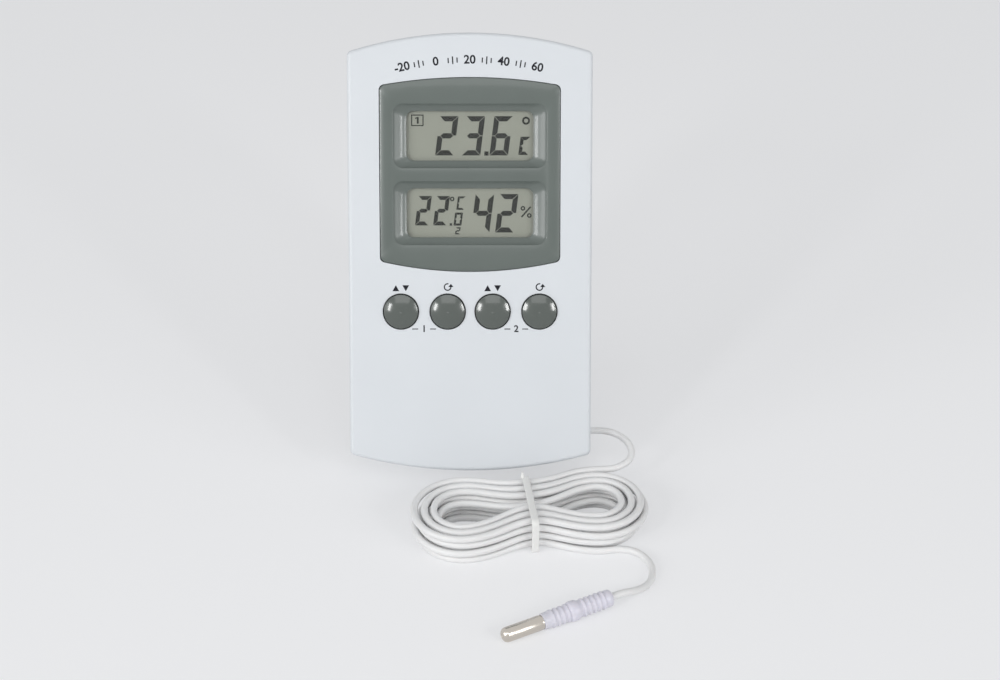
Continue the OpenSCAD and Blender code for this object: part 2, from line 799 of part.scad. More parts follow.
module battery_door() {
  color([0.83, 0.85, 0.87]) device() difference() {
    union() {
      translate([0, 0, cell_z]) along_y(door_y, body_d) round_rect(door_w, door_h, 0.6);
      for (side = [-1, 1])
        translate([side * tab_x, 0, door_low]) {
          block([-tab_w / 2, inner_back - soft_gap - tab_t, 0.2], [tab_w / 2, door_y + over, 1.4]);
          block([-tab_w / 2, inner_back - soft_gap - tab_t, -tab_reach], [tab_w / 2, inner_back - soft_gap, 1.4]);
        }
    }
    for (side = [-1, 1])
      block(
        [side * (latch_w / 2) - latch_slot / 2, door_y - 1, cell_z + door_h / 2 - latch_h],
        [side * (latch_w / 2) + latch_slot / 2, body_d + 1, cell_z + door_h / 2 + 1]
      );
    for (k = [0:2])
      translate([0, body_d, cell_z + door_h / 2 - 2 - k * 1.2]) rod_x(0.3, -latch_w / 2 + 1, latch_w / 2 - 1);
  }
}

module battery_cell() {
  color([0.75, 0.6, 0.25]) device() translate([0, cell_y, cell_z]) {
    rod_x(cell_d / 2, cell_end_x - cell_l, cell_end_x - nub_l);
    rod_x(nub_r, cell_end_x - nub_l - over, cell_end_x);
  }
}

module positive_contact() {
  color([0.8, 0.8, 0.8]) device() {
    block(
      [bay_half_w - contact_t, board_back, cell_z - contact_w / 2],
      [bay_half_w, contact_deep, cell_z + contact_w / 2]
    );
    translate([0, cell_y, cell_z]) rod_x(pad_r, cell_end_x + 0.1, bay_half_w - contact_t + over);
  }
}

module spring_plate() {
  color([0.8, 0.8, 0.8]) device()
    block(
      [-bay_half_w, board_back, cell_z - contact_w / 2],
      [-bay_half_w + contact_t, contact_deep, cell_z + contact_w / 2]
    );
}

// Points of the spring, which narrows from its plate to the cell
spring_points = [for (i = [0:spring_turns * spring_rings])
  let (u = i / (spring_turns * spring_rings), a = 360 * spring_turns * u,
    r = spring_base_r + (spring_top_r - spring_base_r) * u)
  [spring_start_x + (spring_end_x - spring_start_x) * u, r * cos(a), r * sin(a)]];

module battery_spring() {
  color([0.8, 0.8, 0.8]) device() translate([0, cell_y, cell_z])
    tube(spring_points, spring_wire / 2, spring_sides, [1, 0, 0]);
}

// Stand

// The leg as it lies folded: a plate that narrows to its foot, with a round hinge end and foot
module folded_leg() {
  half_t = leg_t / 2;
  difference() {
    union() {
      along_y(hinge_y - half_t, hinge_y + half_t)
        polygon([
          [-leg_w / 2, hinge_z + heel], [leg_w / 2, hinge_z + heel], [leg_w / 2, hinge_z - 6],
          [leg_foot_w / 2, hinge_z - leg_l], [-leg_foot_w / 2, hinge_z - leg_l], [-leg_w / 2, hinge_z - 6]
        ]);
      translate([0, hinge_y, hinge_z - leg_l]) rod_x(foot_r, -leg_foot_w / 2, leg_foot_w / 2);
      translate([0, hinge_y, hinge_z]) rod_x(pin_r, -leg_w / 2 - pin_l + 0.4, leg_w / 2 + pin_l - 0.4);
    }
    translate([0, 0, hinge_z - leg_l / 2 - 2])
      along_y(hinge_y - half_t - 1, hinge_y - half_t + 0.9) round_rect(leg_foot_w - 7, leg_l - 12, 1.5);
    for (k = [0:4])
      translate([0, hinge_y + half_t, hinge_z - leg_l + 3 + k * 1.4]) rod_x(0.3, -6, 6);
  }
}

module stand_leg() {
  stop_y = recess_y + seat_gap;
  color([0.83, 0.85, 0.87]) device() difference() {
    translate([0, hinge_y, hinge_z]) rotate([leg_open, 0, 0]) translate([0, -hinge_y, -hinge_z]) folded_leg();
    block([-leg_w, stop_y - past, hinge_z - 5], [leg_w, stop_y, hinge_z + 5]);
  }
}

// Cord inside the housing

inner_bend_r = 4;
lead_inset = 9;
solder_up = 3;
inner_up_x = inner_w - lead_inset;
board_bend_r = split_y - board_back;

module inner_lead() {
  up_z = cord_z + inner_bend_r;
  turn_z = board_z + solder_up;
  color([0.85, 0.85, 0.85]) device() {
    translate([0, split_y, cord_z]) rod_x(cord_r, inner_up_x + inner_bend_r, body_w / 2);
    translate([inner_up_x + inner_bend_r, split_y, up_z])
      rotate([90, 0, 0]) rotate([0, 0, 180]) rotate_extrude(angle = 90) translate([inner_bend_r, 0]) circle(r = cord_r);
    translate([inner_up_x, split_y, up_z]) cylinder(r = cord_r, h = turn_z - up_z);
    translate([inner_up_x, board_back, turn_z])
      rotate([0, 0, 90]) rotate([90, 0, 0]) rotate_extrude(angle = 90) translate([board_bend_r, 0]) circle(r = cord_r);
  }
}

// A collar pressed on the cord just inside the wall, which keeps it from being pulled out
module cord_stop() {
  color([0.85, 0.85, 0.85]) device() translate([0, split_y, cord_z]) difference() {
    rod_x(2, inner_w - soft_gap - 2, inner_w - soft_gap);
    rod_x(cord_r + over, inner_w - past, inner_w + past);
  }
}

// Free cord

// A tube of flat faces swept along points; up is a direction that the path never runs along
module tube(points, r, sides, up, first = undef, last = undef) {
  n = len(points);
  faces_mid = [for (i = [0:n - 2], k = [0:sides - 1])
    let (a = i * sides + k, b = i * sides + (k + 1) % sides)
    each [[a, b, b + sides], [a, b + sides, a + sides]]];
  rings = [for (i = [0:n - 1])
    let (along = i == 0 && !is_undef(first) ? first : i == n - 1 && !is_undef(last) ? last
        : unit(points[min(i + 1, n - 1)] - points[max(i - 1, 0)]),
      across = unit(cross(along, up)), above = cross(across, along))
    each [for (k = [0:sides - 1]) points[i] + r * (sin(360 * k / sides) * across - cos(360 * k / sides) * above)]];
  polyhedron(
    points = rings,
    faces = concat(
      [[for (k = [0:sides - 1]) sides - 1 - k]],
      faces_mid,
      [[for (k = [0:sides - 1]) (n - 1) * sides + k]]
    )
  );
}

function unit(v) = v / norm(v);
function clamp(v, low, high) = max(low, min(high, v));
function smooth(u) = (1 - cos(180 * clamp(u, 0, 1))) / 2;

// How many steps inwards the turn t lies: in over one layer, out over the next
function spiral(t) = let (m = t - 2 * hank_turns * floor(t / (2 * hank_turns))) m < hank_turns ? m : 2 * hank_turns - m;

// How many layers the turn t has come down
function climbed(t, k = 1) =
  k > hank_layers - 1 ? 0 : smooth((t - k * hank_turns) / climb_share + 0.5) + climbed(t, k + 1);

// A place on the hank in its own directions: x along it, turn t counted from the middle of the back run
function hank_local(t) =
  let (
    q = 4 * (t - floor(t)), part = floor(q), v = part % 2 == 0 ? q - part : 1 - (q - part),
    end_y = hank_r - hank_step * spiral(t), waist_y = waist_r - waist_step * spiral(t),
    on_run = v <= run_share, u = on_run ? v / run_share : 1, a = on_run ? 0 : 90 * (v - run_share) / (1 - run_share),
    x = run_x * u + end_y * sin(a),
    y = on_run ? waist_y + (end_y - waist_y) * smooth(u) : end_y * cos(a),
    z = cord_r + layer_step * (hank_layers - 1 - climbed(t)) + lift * (1 - smooth(x / lift_reach))
  )
  [part < 2 ? -x : x, part == 0 || part == 3 ? y : -y, z];

function hank_place(p) =
  [hank_centre[0] + p[0] * cos(hank_turn) - p[1] * sin(hank_turn),
   hank_centre[1] + p[0] * sin(hank_turn) + p[1] * cos(hank_turn), p[2]];

hank_times = concat(
  [0, end_step],
  [for (i = [1:hank_end * rings_per_turn - 1]) i / rings_per_turn],
  [hank_end - end_step, hank_end]
);
hank_points = [for (t = hank_times) hank_place(hank_local(t))];
hank_way = [cos(hank_turn), sin(hank_turn), 0];

// Distance from a point to the stretch between two others
function to_stretch(p, a, b) =
  let (s = b - a, u = clamp((p - a) * s / (s * s), 0, 1)) norm(p - a - u * s);

// Least gap between stretches of the hank that aren't neighbours
function least_gap(points, skip) =
  min([for (i = [0:len(points) - 1 - skip - 1])
    min([for (j = [i + skip:len(points) - 2]) to_stretch(points[i], points[j], points[j + 1])])]) - cord_d;

function way_length(points) =
  [for (i = [1:len(points) - 1]) norm(points[i] - points[i - 1])] * [for (i = [1:len(points) - 1]) 1];

module sensor_hank() {
  echo(hank_least_gap = least_gap(hank_points, 6), hank_length = way_length(hank_points));
  color([0.86, 0.86, 0.86])
    tube(hank_points, cord_r, hank_sides, [0, 0, 1], -hank_way, hank_way);
}

// Where the cord leaves the leaned housing
exit_point = [
  body_w / 2,
  split_y * cos(lean) + cord_z * sin(lean) - depth_mid,
  cord_z * cos(lean) - split_y * sin(lean) + stand_drop
];

// The way a point is run in before an end that it meets squarely
function before(p, way) = p - 1.2 * cord_d * way;

// A place beside the hank on its way to the waist: side is 1 at the back, -1 in front
function beside_hank(u, side, steps_in, z) =
  let (x = run_x * u, waist_y = waist_r - waist_step * steps_in, end_y = hank_r - hank_step * steps_in + 0.3)
  hank_place([x, side * (waist_y + (end_y - waist_y) * smooth(u)), z + lift * (1 - smooth(x / lift_reach))]);

top_z = cord_r + layer_step * (hank_layers - 1);

lead_route = concat(
  [exit_point, before(exit_point, [-1, 0, 0])], lead_points,
  [for (u = [1.14, 0.97, 0.8, 0.63, 0.46, 0.3]) beside_hank(u, 1, 0, top_z)],
  [before(hank_points[0], -hank_way), hank_points[0]]
);

module sensor_lead() {
  echo(lead_length = way_length(lead_route));
  color([0.86, 0.86, 0.86]) tube(lead_route, cord_r, cord_sides, [0, 0, 1], [1, 0, 0], -hank_way);
}

hank_last = hank_points[len(hank_points) - 1];
probe_way = [cos(probe_turn) * cos(probe_tilt), sin(probe_turn) * cos(probe_tilt), -sin(probe_tilt)];
tail_route = concat(
  [hank_last, before(hank_last, -hank_way)],
  [for (u = [0.3, 0.46, 0.63, 0.8, 0.97]) beside_hank(u, -1, 0.5, cord_r)], tail_points,
  [before(probe_start, probe_way), probe_start]
);

module sensor_tail() {
  echo(tail_length = way_length(tail_route));
  color([0.86, 0.86, 0.86]) tube(tail_route, cord_r, cord_sides, [0, 0, 1], hank_way, probe_way);
}

// A closed band round the hank's waist
module hank_tie() {
  half_y = waist_r + cord_r + tie_gap;
  low = cord_r + lift - cord_r - tie_gap;
  high = cord_r + lift + layer_step * (hank_layers - 1) + cord_r + tie_gap;
  color([0.93, 0.93, 0.92])
    translate([hank_centre[0], hank_centre[1], (low + high) / 2]) rotate([0, 0, hank_turn])
      translate([-tie_w / 2, 0, 0]) rotate([90, 0, 90]) linear_extrude(height = tie_w) difference() {
        round_rect(2 * (half_y + tie_t), high - low + 2 * tie_t, cord_r + tie_gap + tie_t);
        round_rect(2 * half_y, high - low, cord_r + tie_gap);
      }
}

// Probe

// Puts a shape drawn along +z on the probe's axis, which starts where the cord goes in
module on_probe() {
  translate(probe_start) rotate([0, 90 + probe_tilt, probe_turn]) children();
}

module probe_sleeve() {
  ribs = floor((sleeve_l - 3) / rib_step);
  color([0.85, 0.84, 0.9]) on_probe() difference() {
    rotate_extrude() {
      polygon([[0, 0], [sleeve_r - 0.5, 0], [sleeve_r - 0.1, 0.8], [sleeve_r, 3], [sleeve_r - 0.1, sleeve_l], [0, sleeve_l]]);
      for (k = [0:ribs - 1])
        translate([sleeve_r - 0.3, 1.8 + k * rib_step]) square([0.3 + rib_h, rib_w]);
      translate([sleeve_r - 0.3, band_at]) square([0.3 + band_r - sleeve_r, band_l]);
    }
    translate([0, 0, sleeve_l - tip_in]) neck(over);
    translate([0, 0, sleeve_l - tip_in - socket_l]) cylinder(r = bead_r + 0.1, h = socket_l + 1);
  }
}

// The tapered neck of the tip, which is pressed into the sleeve, drawn larger by a clearance
module neck(grow) {
  cylinder(r1 = neck_end_r + grow, r2 = neck_mouth_r + grow, h = tip_in + neck_l);
}

// A drawn metal cap with a tapered neck, a round nose and a small dimple
module probe_tip() {
  color([0.8, 0.78, 0.74]) on_probe() translate([0, 0, sleeve_l - tip_in]) difference() {
    union() {
      neck(0);
      rotate_extrude() {
        translate([0, tip_in + neck_l]) square([tip_r, tip_l - neck_l - nose_r]);
        intersection() {
          union() {
            square([tip_r - nose_r, tip_in + tip_l]);
            translate([tip_r - nose_r, tip_in + tip_l - nose_r]) circle(r = nose_r);
          }
          square([past, past]);
        }
      }
    }
    translate([0, 0, -1]) cylinder(r = tip_r - tip_wall, h = tip_in + tip_l - nose_r);
    translate([0, 0, tip_in + tip_l + 0.25]) sphere(r = 0.6);
  }
}

// The sensing bead inside the tip, on the end of the cord's core
module probe_thermistor() {
  bead_at = sleeve_l + tip_l - 5;
  color([0.1, 0.1, 0.12]) on_probe() {
    translate([0, 0, sleeve_l - tip_in - socket_l]) cylinder(r = 0.7, h = bead_at - sleeve_l + tip_in + socket_l);
    translate([0, 0, bead_at]) sphere(r = bead_r);
  }
}

front_housing();
rear_housing();
display_bezel();
window(upper_window_z);  // upper_window
window(lower_window_z);  // lower_window
lcd(upper_window_z, 1);  // upper_lcd
lcd(lower_window_z, -1);  // lower_lcd
zebra_strip(upper_window_z, 1);  // upper_zebra_strip
zebra_strip(lower_window_z, -1);  // lower_zebra_strip
circuit_board();
board_screws();
key_switches();
button(-outer_button_x);  // out_memory_button
button(-inner_button_x);  // out_reset_button
button(inner_button_x);  // in_memory_button
button(outer_button_x);  // in_reset_button
plunger(-outer_button_x);  // out_memory_plunger
plunger(-inner_button_x);  // out_reset_plunger
plunger(inner_button_x);  // in_memory_plunger
plunger(outer_button_x);  // in_reset_plunger
chip_blob();
timing_crystal();
board_parts();
humidity_sensor();
room_thermistor();
battery_door();
battery_cell();
battery_spring();
spring_plate();
positive_contact();
stand_leg();
housing_screws();
inner_lead();
cord_stop();
sensor_lead();
sensor_hank();
sensor_tail();
hank_tie();
probe_sleeve();
probe_tip();
probe_thermistor();
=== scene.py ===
"""Looks of a digital thermo-hygrometer with two displays and a probe on a hanked cord."""

from __future__ import annotations

import logging
import math
from dataclasses import dataclass, field
from enum import Enum

import bmesh
import bpy
from mathutils import Matrix, Vector

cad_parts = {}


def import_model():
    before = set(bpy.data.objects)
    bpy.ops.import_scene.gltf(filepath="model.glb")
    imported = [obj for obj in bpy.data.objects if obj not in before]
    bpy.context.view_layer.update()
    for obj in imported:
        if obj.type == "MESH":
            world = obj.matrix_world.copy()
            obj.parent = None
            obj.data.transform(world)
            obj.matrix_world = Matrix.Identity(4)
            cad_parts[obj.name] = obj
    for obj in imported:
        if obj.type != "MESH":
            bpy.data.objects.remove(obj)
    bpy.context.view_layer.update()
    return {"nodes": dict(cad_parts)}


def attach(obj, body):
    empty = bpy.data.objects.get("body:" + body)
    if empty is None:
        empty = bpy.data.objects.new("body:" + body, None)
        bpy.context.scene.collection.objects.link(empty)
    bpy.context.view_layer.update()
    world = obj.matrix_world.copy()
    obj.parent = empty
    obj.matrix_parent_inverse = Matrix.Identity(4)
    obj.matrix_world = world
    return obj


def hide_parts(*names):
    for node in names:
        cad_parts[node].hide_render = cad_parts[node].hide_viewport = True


LOG = logging.getLogger("thermo_hygrometer")
MM = 0.001
BODY = "device"
WHITE = (1.0, 1.0, 1.0, 1.0)
MERGED = 1.0e-7

# Stands a shape that was drawn flat on the table upright, facing the front
UPRIGHT = Matrix.Rotation(math.radians(90), 4, "X")

Colour = tuple[float, float, float, float]
Triple = tuple[float, float, float]
Spot = tuple[float, float]
Shape = bmesh.types.BMesh


class Wire:
    """A shader socket on which sums can be written."""

    def __init__(self, board: Board, socket: bpy.types.NodeSocket) -> None:
        """Keeps the socket and the board that it belongs to."""
        self.board = board
        self.socket = socket

    def _sum(self, operation: str, first: Wire | float, second: Wire | float) -> Wire:
        """Adds one Math node."""
        return self.board.node("ShaderNodeMath", {"operation": operation}, {0: first, 1: second})

    def __add__(self, other: Wire | float) -> Wire:
        """This plus other."""
        return self._sum("ADD", self, other)

    def __radd__(self, other: float) -> Wire:
        """Other plus this."""
        return self._sum("ADD", other, self)

    def __sub__(self, other: Wire | float) -> Wire:
        """This minus other."""
        return self._sum("SUBTRACT", self, other)

    def __rsub__(self, other: float) -> Wire:
        """Other minus this."""
        return self._sum("SUBTRACT", other, self)

    def __mul__(self, other: Wire | float) -> Wire:
        """This times other."""
        return self._sum("MULTIPLY", self, other)

    def __rmul__(self, other: float) -> Wire:
        """Other times this."""
        return self._sum("MULTIPLY", other, self)

    def __gt__(self, other: Wire | float) -> Wire:
        """1 where this is more than other, else 0."""
        return self._sum("GREATER_THAN", self, other)


class Board:
    """The nodes of a material or of the surroundings."""

    def __init__(self, tree: bpy.types.NodeTree) -> None:
        """Keeps the node tree."""
        self.tree = tree

    def node(
        self, kind: str, settings: dict | None = None, inputs: dict | None = None, out: int | str = 0,
    ) -> Wire:
        """Adds any node.

        Args:
            kind: The node's type.
            settings: Its own settings, set first.
            inputs: Values or wires by the socket's name or number.
            out: The output that is wanted.

        Returns:
            That output.
        """
        made = self.tree.nodes.new(kind)
        for key, value in (settings or {}).items():
            setattr(made, key, value)
        for key, value in (inputs or {}).items():
            self.feed(made.inputs[key], value)
        return Wire(self, made.outputs[out])

    def feed(self, socket: bpy.types.NodeSocket, value: Wire | float | tuple) -> None:
        """Links a wire to a socket, or sets its value.

        Args:
            socket: The socket.
            value: The wire or the value.
        """
        if isinstance(value, Wire):
            self.tree.links.new(value.socket, socket)
        else:
            socket.default_value = value

    def seen(self) -> Wire:
        """1 for what the camera sees, by itself or in metal and glass, else 0.

        Returns:
            The mask.
        """
        camera, mirrored, through = [
            self.node("ShaderNodeLightPath", out=ray)
            for ray in ("Is Camera Ray", "Is Glossy Ray", "Is Transmission Ray")
        ]
        return camera + mirrored + through > 0.5


class Paint(Board):
    """One material in the making."""

    def __init__(self, name: str) -> None:
        """Starts a material that holds one principled shader.

        Args:
            name: The material's name.
        """
        self.material = bpy.data.materials.new(name)
        self.material.use_nodes = True
        super().__init__(self.material.node_tree)
        self.shader = self.tree.nodes["Principled BSDF"]
        self.output = self.tree.nodes["Material Output"]

    def set(self, **values: Wire | float | tuple) -> None:
        """Sets the shader's own sockets; an underscore in a name stands for a blank."""
        for key, value in values.items():
            self.feed(self.shader.inputs[key.replace("_", " ").title().replace("Ior", "IOR")], value)

    def place(self, scale: Triple = (1, 1, 1), turn: Triple = (0, 0, 0)) -> Wire:
        """The object's own coordinates, scaled and turned."""
        here = self.node("ShaderNodeTexCoord", out="Object")
        return self.node("ShaderNodeMapping", inputs={"Vector": here, "Scale": scale, "Rotation": turn})

    def cloud(self, where: Wire, scale: float, detail: float = 2.0, rough: float = 0.5) -> Wire:
        """A noise from 0 to 1."""
        inputs = {"Vector": where, "Scale": scale, "Detail": detail, "Roughness": rough}
        return self.node("ShaderNodeTexNoise", inputs=inputs)

    def slab(self, way: Matrix, depth: float, width: float) -> Wire:
        """1 in a thin flat layer of the upright device, else 0.

        Args:
            way: From the table to the upright device.
            depth: The layer's depth behind the face, in metres.
            width: The layer's thickness, in metres.

        Returns:
            The mask.
        """
        here = self.node("ShaderNodeTexCoord", out="Object")
        inputs = {"Vector": here, "Location": way.translation, "Rotation": way.to_euler()}
        upright = self.node("ShaderNodeMapping", inputs=inputs)
        away = self.node("ShaderNodeSeparateXYZ", inputs={"Vector": upright}, out=1) - depth
        distance = self.node("ShaderNodeMath", {"operation": "ABSOLUTE"}, {0: away})
        return (width / 2 - distance) > 0.0

    def mix(self, amount: Wire | float, first: Wire | tuple, second: Wire | tuple) -> Wire:
        """A colour between two."""
        return self.node("ShaderNodeMix", {"data_type": "RGBA"}, {0: amount, 6: first, 7: second}, out=2)

    def varied(self, amount: Wire, colour: Colour, low: float, high: float) -> Wire:
        """A colour that changes from a darker to a lighter tone of its own."""
        return self.mix(amount, toned(colour, low), toned(colour, high))

    def bump(self, height: Wire, depth: float) -> None:
        """Gives the shader a relief of that depth in metres."""
        relief = self.node("ShaderNodeBump", inputs={"Height": height, "Distance": depth, "Strength": 1.0})
        self.set(normal=relief)

    def cover(self, share: Wire, first: Wire, second: Wire) -> None:
        """Gives the surface a blend of two shaders."""
        both = self.node("ShaderNodeMixShader", inputs={0: share, 1: first, 2: second})
        self.feed(self.output.inputs["Surface"], both)


def linear(red: int, green: int, blue: int) -> Colour:
    """A screen colour as the shader wants it.

    Args:
        red: Its red, from 0 to 255.
        green: Its green.
        blue: Its blue.

    Returns:
        The colour.
    """
    parts = [value / 255 for value in (red, green, blue)]
    made = [part / 12.92 if part <= 0.04045 else ((part + 0.055) / 1.055) ** 2.4 for part in parts]
    return (*made, 1.0)


def toned(colour: Colour, factor: float) -> Colour:
    """The same colour, lighter or darker by a factor."""
    return (*(min(part * factor, 1) for part in colour[:3]), 1)


class Coating:
    """What every finish shares: it starts its material, lays itself on and hands the material over."""

    def material(self, name: str) -> bpy.types.Material:
        """Makes the material.

        Args:
            name: The material's name.

        Returns:
            The material.
        """
        paint = Paint(name)
        self.lay(paint)
        return paint.material

    def lay(self, paint: Paint) -> None:
        """Lays the finish on, which each finish does in its own way."""
        raise NotImplementedError


@dataclass(frozen=True)
class MouldedPlastic(Coating):
    """Satin plastic from a spark-eroded mould, with faint mottling, handling marks and perhaps a seam, whose
    groove gets painted shade.
    """

    colour: Colour
    roughness: float = 0.42
    grain: float = 4.0e-6
    mottle: float = 0.035
    seam: float = 0.0
    seam_width: float = 0.00024
    # How dark the painted shade of the seam's groove is, as a share of the plastic's colour
    painted_seam_shade: float = 0.4
    seam_grains: float = 18.0

    def lay(self, paint: Paint) -> None:
        """Lays the finish on.

        Args:
            paint: The material in the making.
        """
        here = paint.place()
        cloudy = paint.cloud(here, scale=45.0, detail=3.0)
        fine = paint.cloud(here, scale=2600.0, detail=2.0, rough=0.6)
        rubbed = paint.cloud(here, scale=160.0, detail=4.0, rough=0.6)
        base = paint.varied(cloudy, self.colour, 1 - self.mottle, 1 + self.mottle)
        relief = fine + cloudy * 0.6
        if self.seam:
            # Painted shade: a thin band along the seam is darkened in the colour as shade in its groove; the
            # bump also sinks it a little
            line = paint.slab(STANCE.matrix.inverted(), self.seam, self.seam_width)
            base = paint.mix(line, base, toned(self.colour, self.painted_seam_shade))
            relief = relief - line * self.seam_grains
        paint.set(base_color=base, roughness=rubbed * 0.12 + (self.roughness - 0.06))
        paint.bump(relief, self.grain)


@dataclass(frozen=True)
class GlossPlastic(Coating):
    """Polished plastic with a clear skin, slight waviness and a few smears."""

    colour: Colour
    roughness: float = 0.2
    wave: float = 6.0e-6
    coat: float = 0.35

    def lay(self, paint: Paint) -> None:
        """Lays the finish on.

        Args:
            paint: The material in the making.
        """
        wavy = paint.cloud(paint.place(), scale=120.0, detail=1.0)
        smear = paint.cloud(paint.place((1.0, 1.0, 0.35)), scale=420.0, detail=4.0, rough=0.62)
        paint.set(base_color=paint.varied(wavy, self.colour, 0.95, 1.05))
        paint.set(roughness=smear * 0.1 + (self.roughness - 0.05), coat_weight=self.coat, coat_roughness=0.06)
        paint.bump(wavy, self.wave)


@dataclass(frozen=True)
class ClearPane(Coating):
    """Clear acrylic that lets light straight through and mirrors a little, more so at a flat angle."""

    gloss: float = 0.06
    mirror: float = 0.015
    grazing: float = 0.8
    smeared: float = 0.02

    def lay(self, paint: Paint) -> None:
        """Lays the finish on.

        Args:
            paint: The material in the making.
        """
        smear = paint.cloud(paint.place((1.0, 1.0, 0.5)), scale=300.0, detail=4.0, rough=0.6)
        clear = paint.node("ShaderNodeBsdfTransparent", inputs={"Color": (0.97, 0.98, 0.975, 1)})
        shine = paint.node("ShaderNodeBsdfAnisotropic", inputs={"Color": WHITE, "Roughness": self.gloss})
        facing = paint.node("ShaderNodeLayerWeight", inputs={"Blend": 0.5}, out="Facing")
        share = facing * facing * facing * facing * self.grazing + smear * self.smeared + self.mirror
        paint.cover(share, clear, shine)


@dataclass(frozen=True)
class DisplayGlass(Coating):
    """Reflective display glass: grey-green, finely dappled and a little cloudy."""

    colour: Colour

    def lay(self, paint: Paint) -> None:
        """Lays the finish on.

        Args:
            paint: The material in the making.
        """
        here = paint.place()
        dapple = paint.cloud(here, scale=3500.0, detail=2.0, rough=0.7)
        broad = paint.cloud(here, scale=60.0, detail=2.0)
        base = paint.varied(dapple * 0.5 + broad * 0.5, self.colour, 0.93, 1.07)
        paint.set(base_color=base, roughness=dapple * 0.1 + 0.3)
        paint.bump(dapple, 2.0e-6)


@dataclass(frozen=True)
class Ink(Coating):
    """A thin printed or driven mark, very slightly uneven."""

    colour: Colour
    roughness: float = 0.5

    def lay(self, paint: Paint) -> None:
        """Lays the finish on.

        Args:
            paint: The material in the making.
        """
        speck = paint.cloud(paint.place(), scale=1800.0, detail=3.0, rough=0.65)
        paint.set(base_color=paint.varied(speck, self.colour, 0.85, 1.2), specular_ior_level=0.12)
        paint.set(roughness=speck * 0.15 + (self.roughness - 0.07))
        paint.bump(speck, 2.0e-6)


@dataclass(frozen=True)
class SoftVinyl(Coating):
    """Soft vinyl that lets a little light in, with fine extrusion marks and faint dust."""

    colour: Colour
    roughness: float = 0.4
    depth: float = 0.0006
    glow: float = 0.12

    def lay(self, paint: Paint) -> None:
        """Lays the finish on.

        Args:
            paint: The material in the making.
        """
        here = paint.place()
        dust = paint.cloud(here, scale=90.0, detail=4.0, rough=0.6)
        fine = paint.cloud(here, scale=1500.0, detail=2.0)
        paint.set(base_color=paint.varied(dust, self.colour, 0.95, 1.03))
        paint.set(roughness=fine * 0.12 + (self.roughness - 0.06))
        paint.set(subsurface_weight=self.glow, subsurface_scale=self.depth)
        paint.set(subsurface_radius=(1.0, 0.9, 0.85))
        paint.bump(fine, 5.0e-6)


@dataclass(frozen=True)
class BareMetal(Coating):
    """Bare or plated metal with marks drawn along one direction."""

    colour: Colour
    roughness: float = 0.22
    along: Triple = (1.0, 1.0, 1.0)
    turn: Triple = (0.0, 0.0, 0.0)

    def lay(self, paint: Paint) -> None:
        """Lays the finish on.

        Args:
            paint: The material in the making.
        """
        drawn = paint.cloud(paint.place(self.along, self.turn), scale=900.0, detail=3.0, rough=0.6)
        tarnish = paint.cloud(paint.place(), scale=140.0, detail=3.0)
        paint.set(base_color=paint.varied(tarnish, self.colour, 0.9, 1.06), metallic=1.0)
        paint.set(roughness=drawn * 0.16 + (self.roughness - 0.06))
        paint.bump(drawn, 2.5e-6)


@dataclass(frozen=True)
class Banded(Coating):
    """Two colours across one axis: repeated bands if step is given, or else one change at edge."""

    first: Colour
    second: Colour
    axis: int
    step: float = 0.0
    edge: float = 0.0
    roughness: float = 0.4

    def lay(self, paint: Paint) -> None:
        """Lays the finish on.

        Args:
            paint: The material in the making.
        """
        here = paint.place()
        across = paint.node("ShaderNodeSeparateXYZ", inputs={"Vector": here}, out=self.axis)
        if self.step:
            across = paint.node("ShaderNodeMath", {"operation": "PINGPONG"}, {0: across, 1: self.step})
        mask = across > (self.step / 2 if self.step else self.edge)
        scuff = paint.cloud(here, scale=350.0, detail=4.0)
        paint.set(base_color=paint.mix(mask, self.first, self.second))
        paint.set(roughness=scuff * 0.15 + (self.roughness - 0.07))
        paint.bump(scuff, 3.0e-6)


@dataclass(frozen=True)
class BoardMask(Coating):
    """Solder mask with the copper tracks showing through it."""

    mask: Colour
    track: Colour

    def lay(self, paint: Paint) -> None:
        """Lays the finish on.

        Args:
            paint: The material in the making.
        """
        here = paint.place()
        inputs = {"Vector": here, "Scale": 260.0, "Randomness": 0.55}
        cells = paint.node("ShaderNodeTexVoronoi", {"distance": "CHEBYCHEV", "feature": "F1"}, inputs)
        tracks = cells > 0.42
        speck = paint.cloud(here, scale=900.0, detail=2.0)
        paint.set(base_color=paint.mix(tracks, self.mask, self.track))
        paint.set(roughness=speck * 0.12 + 0.3, coat_weight=0.3)
        paint.bump(tracks + speck * 0.2, 8.0e-6)


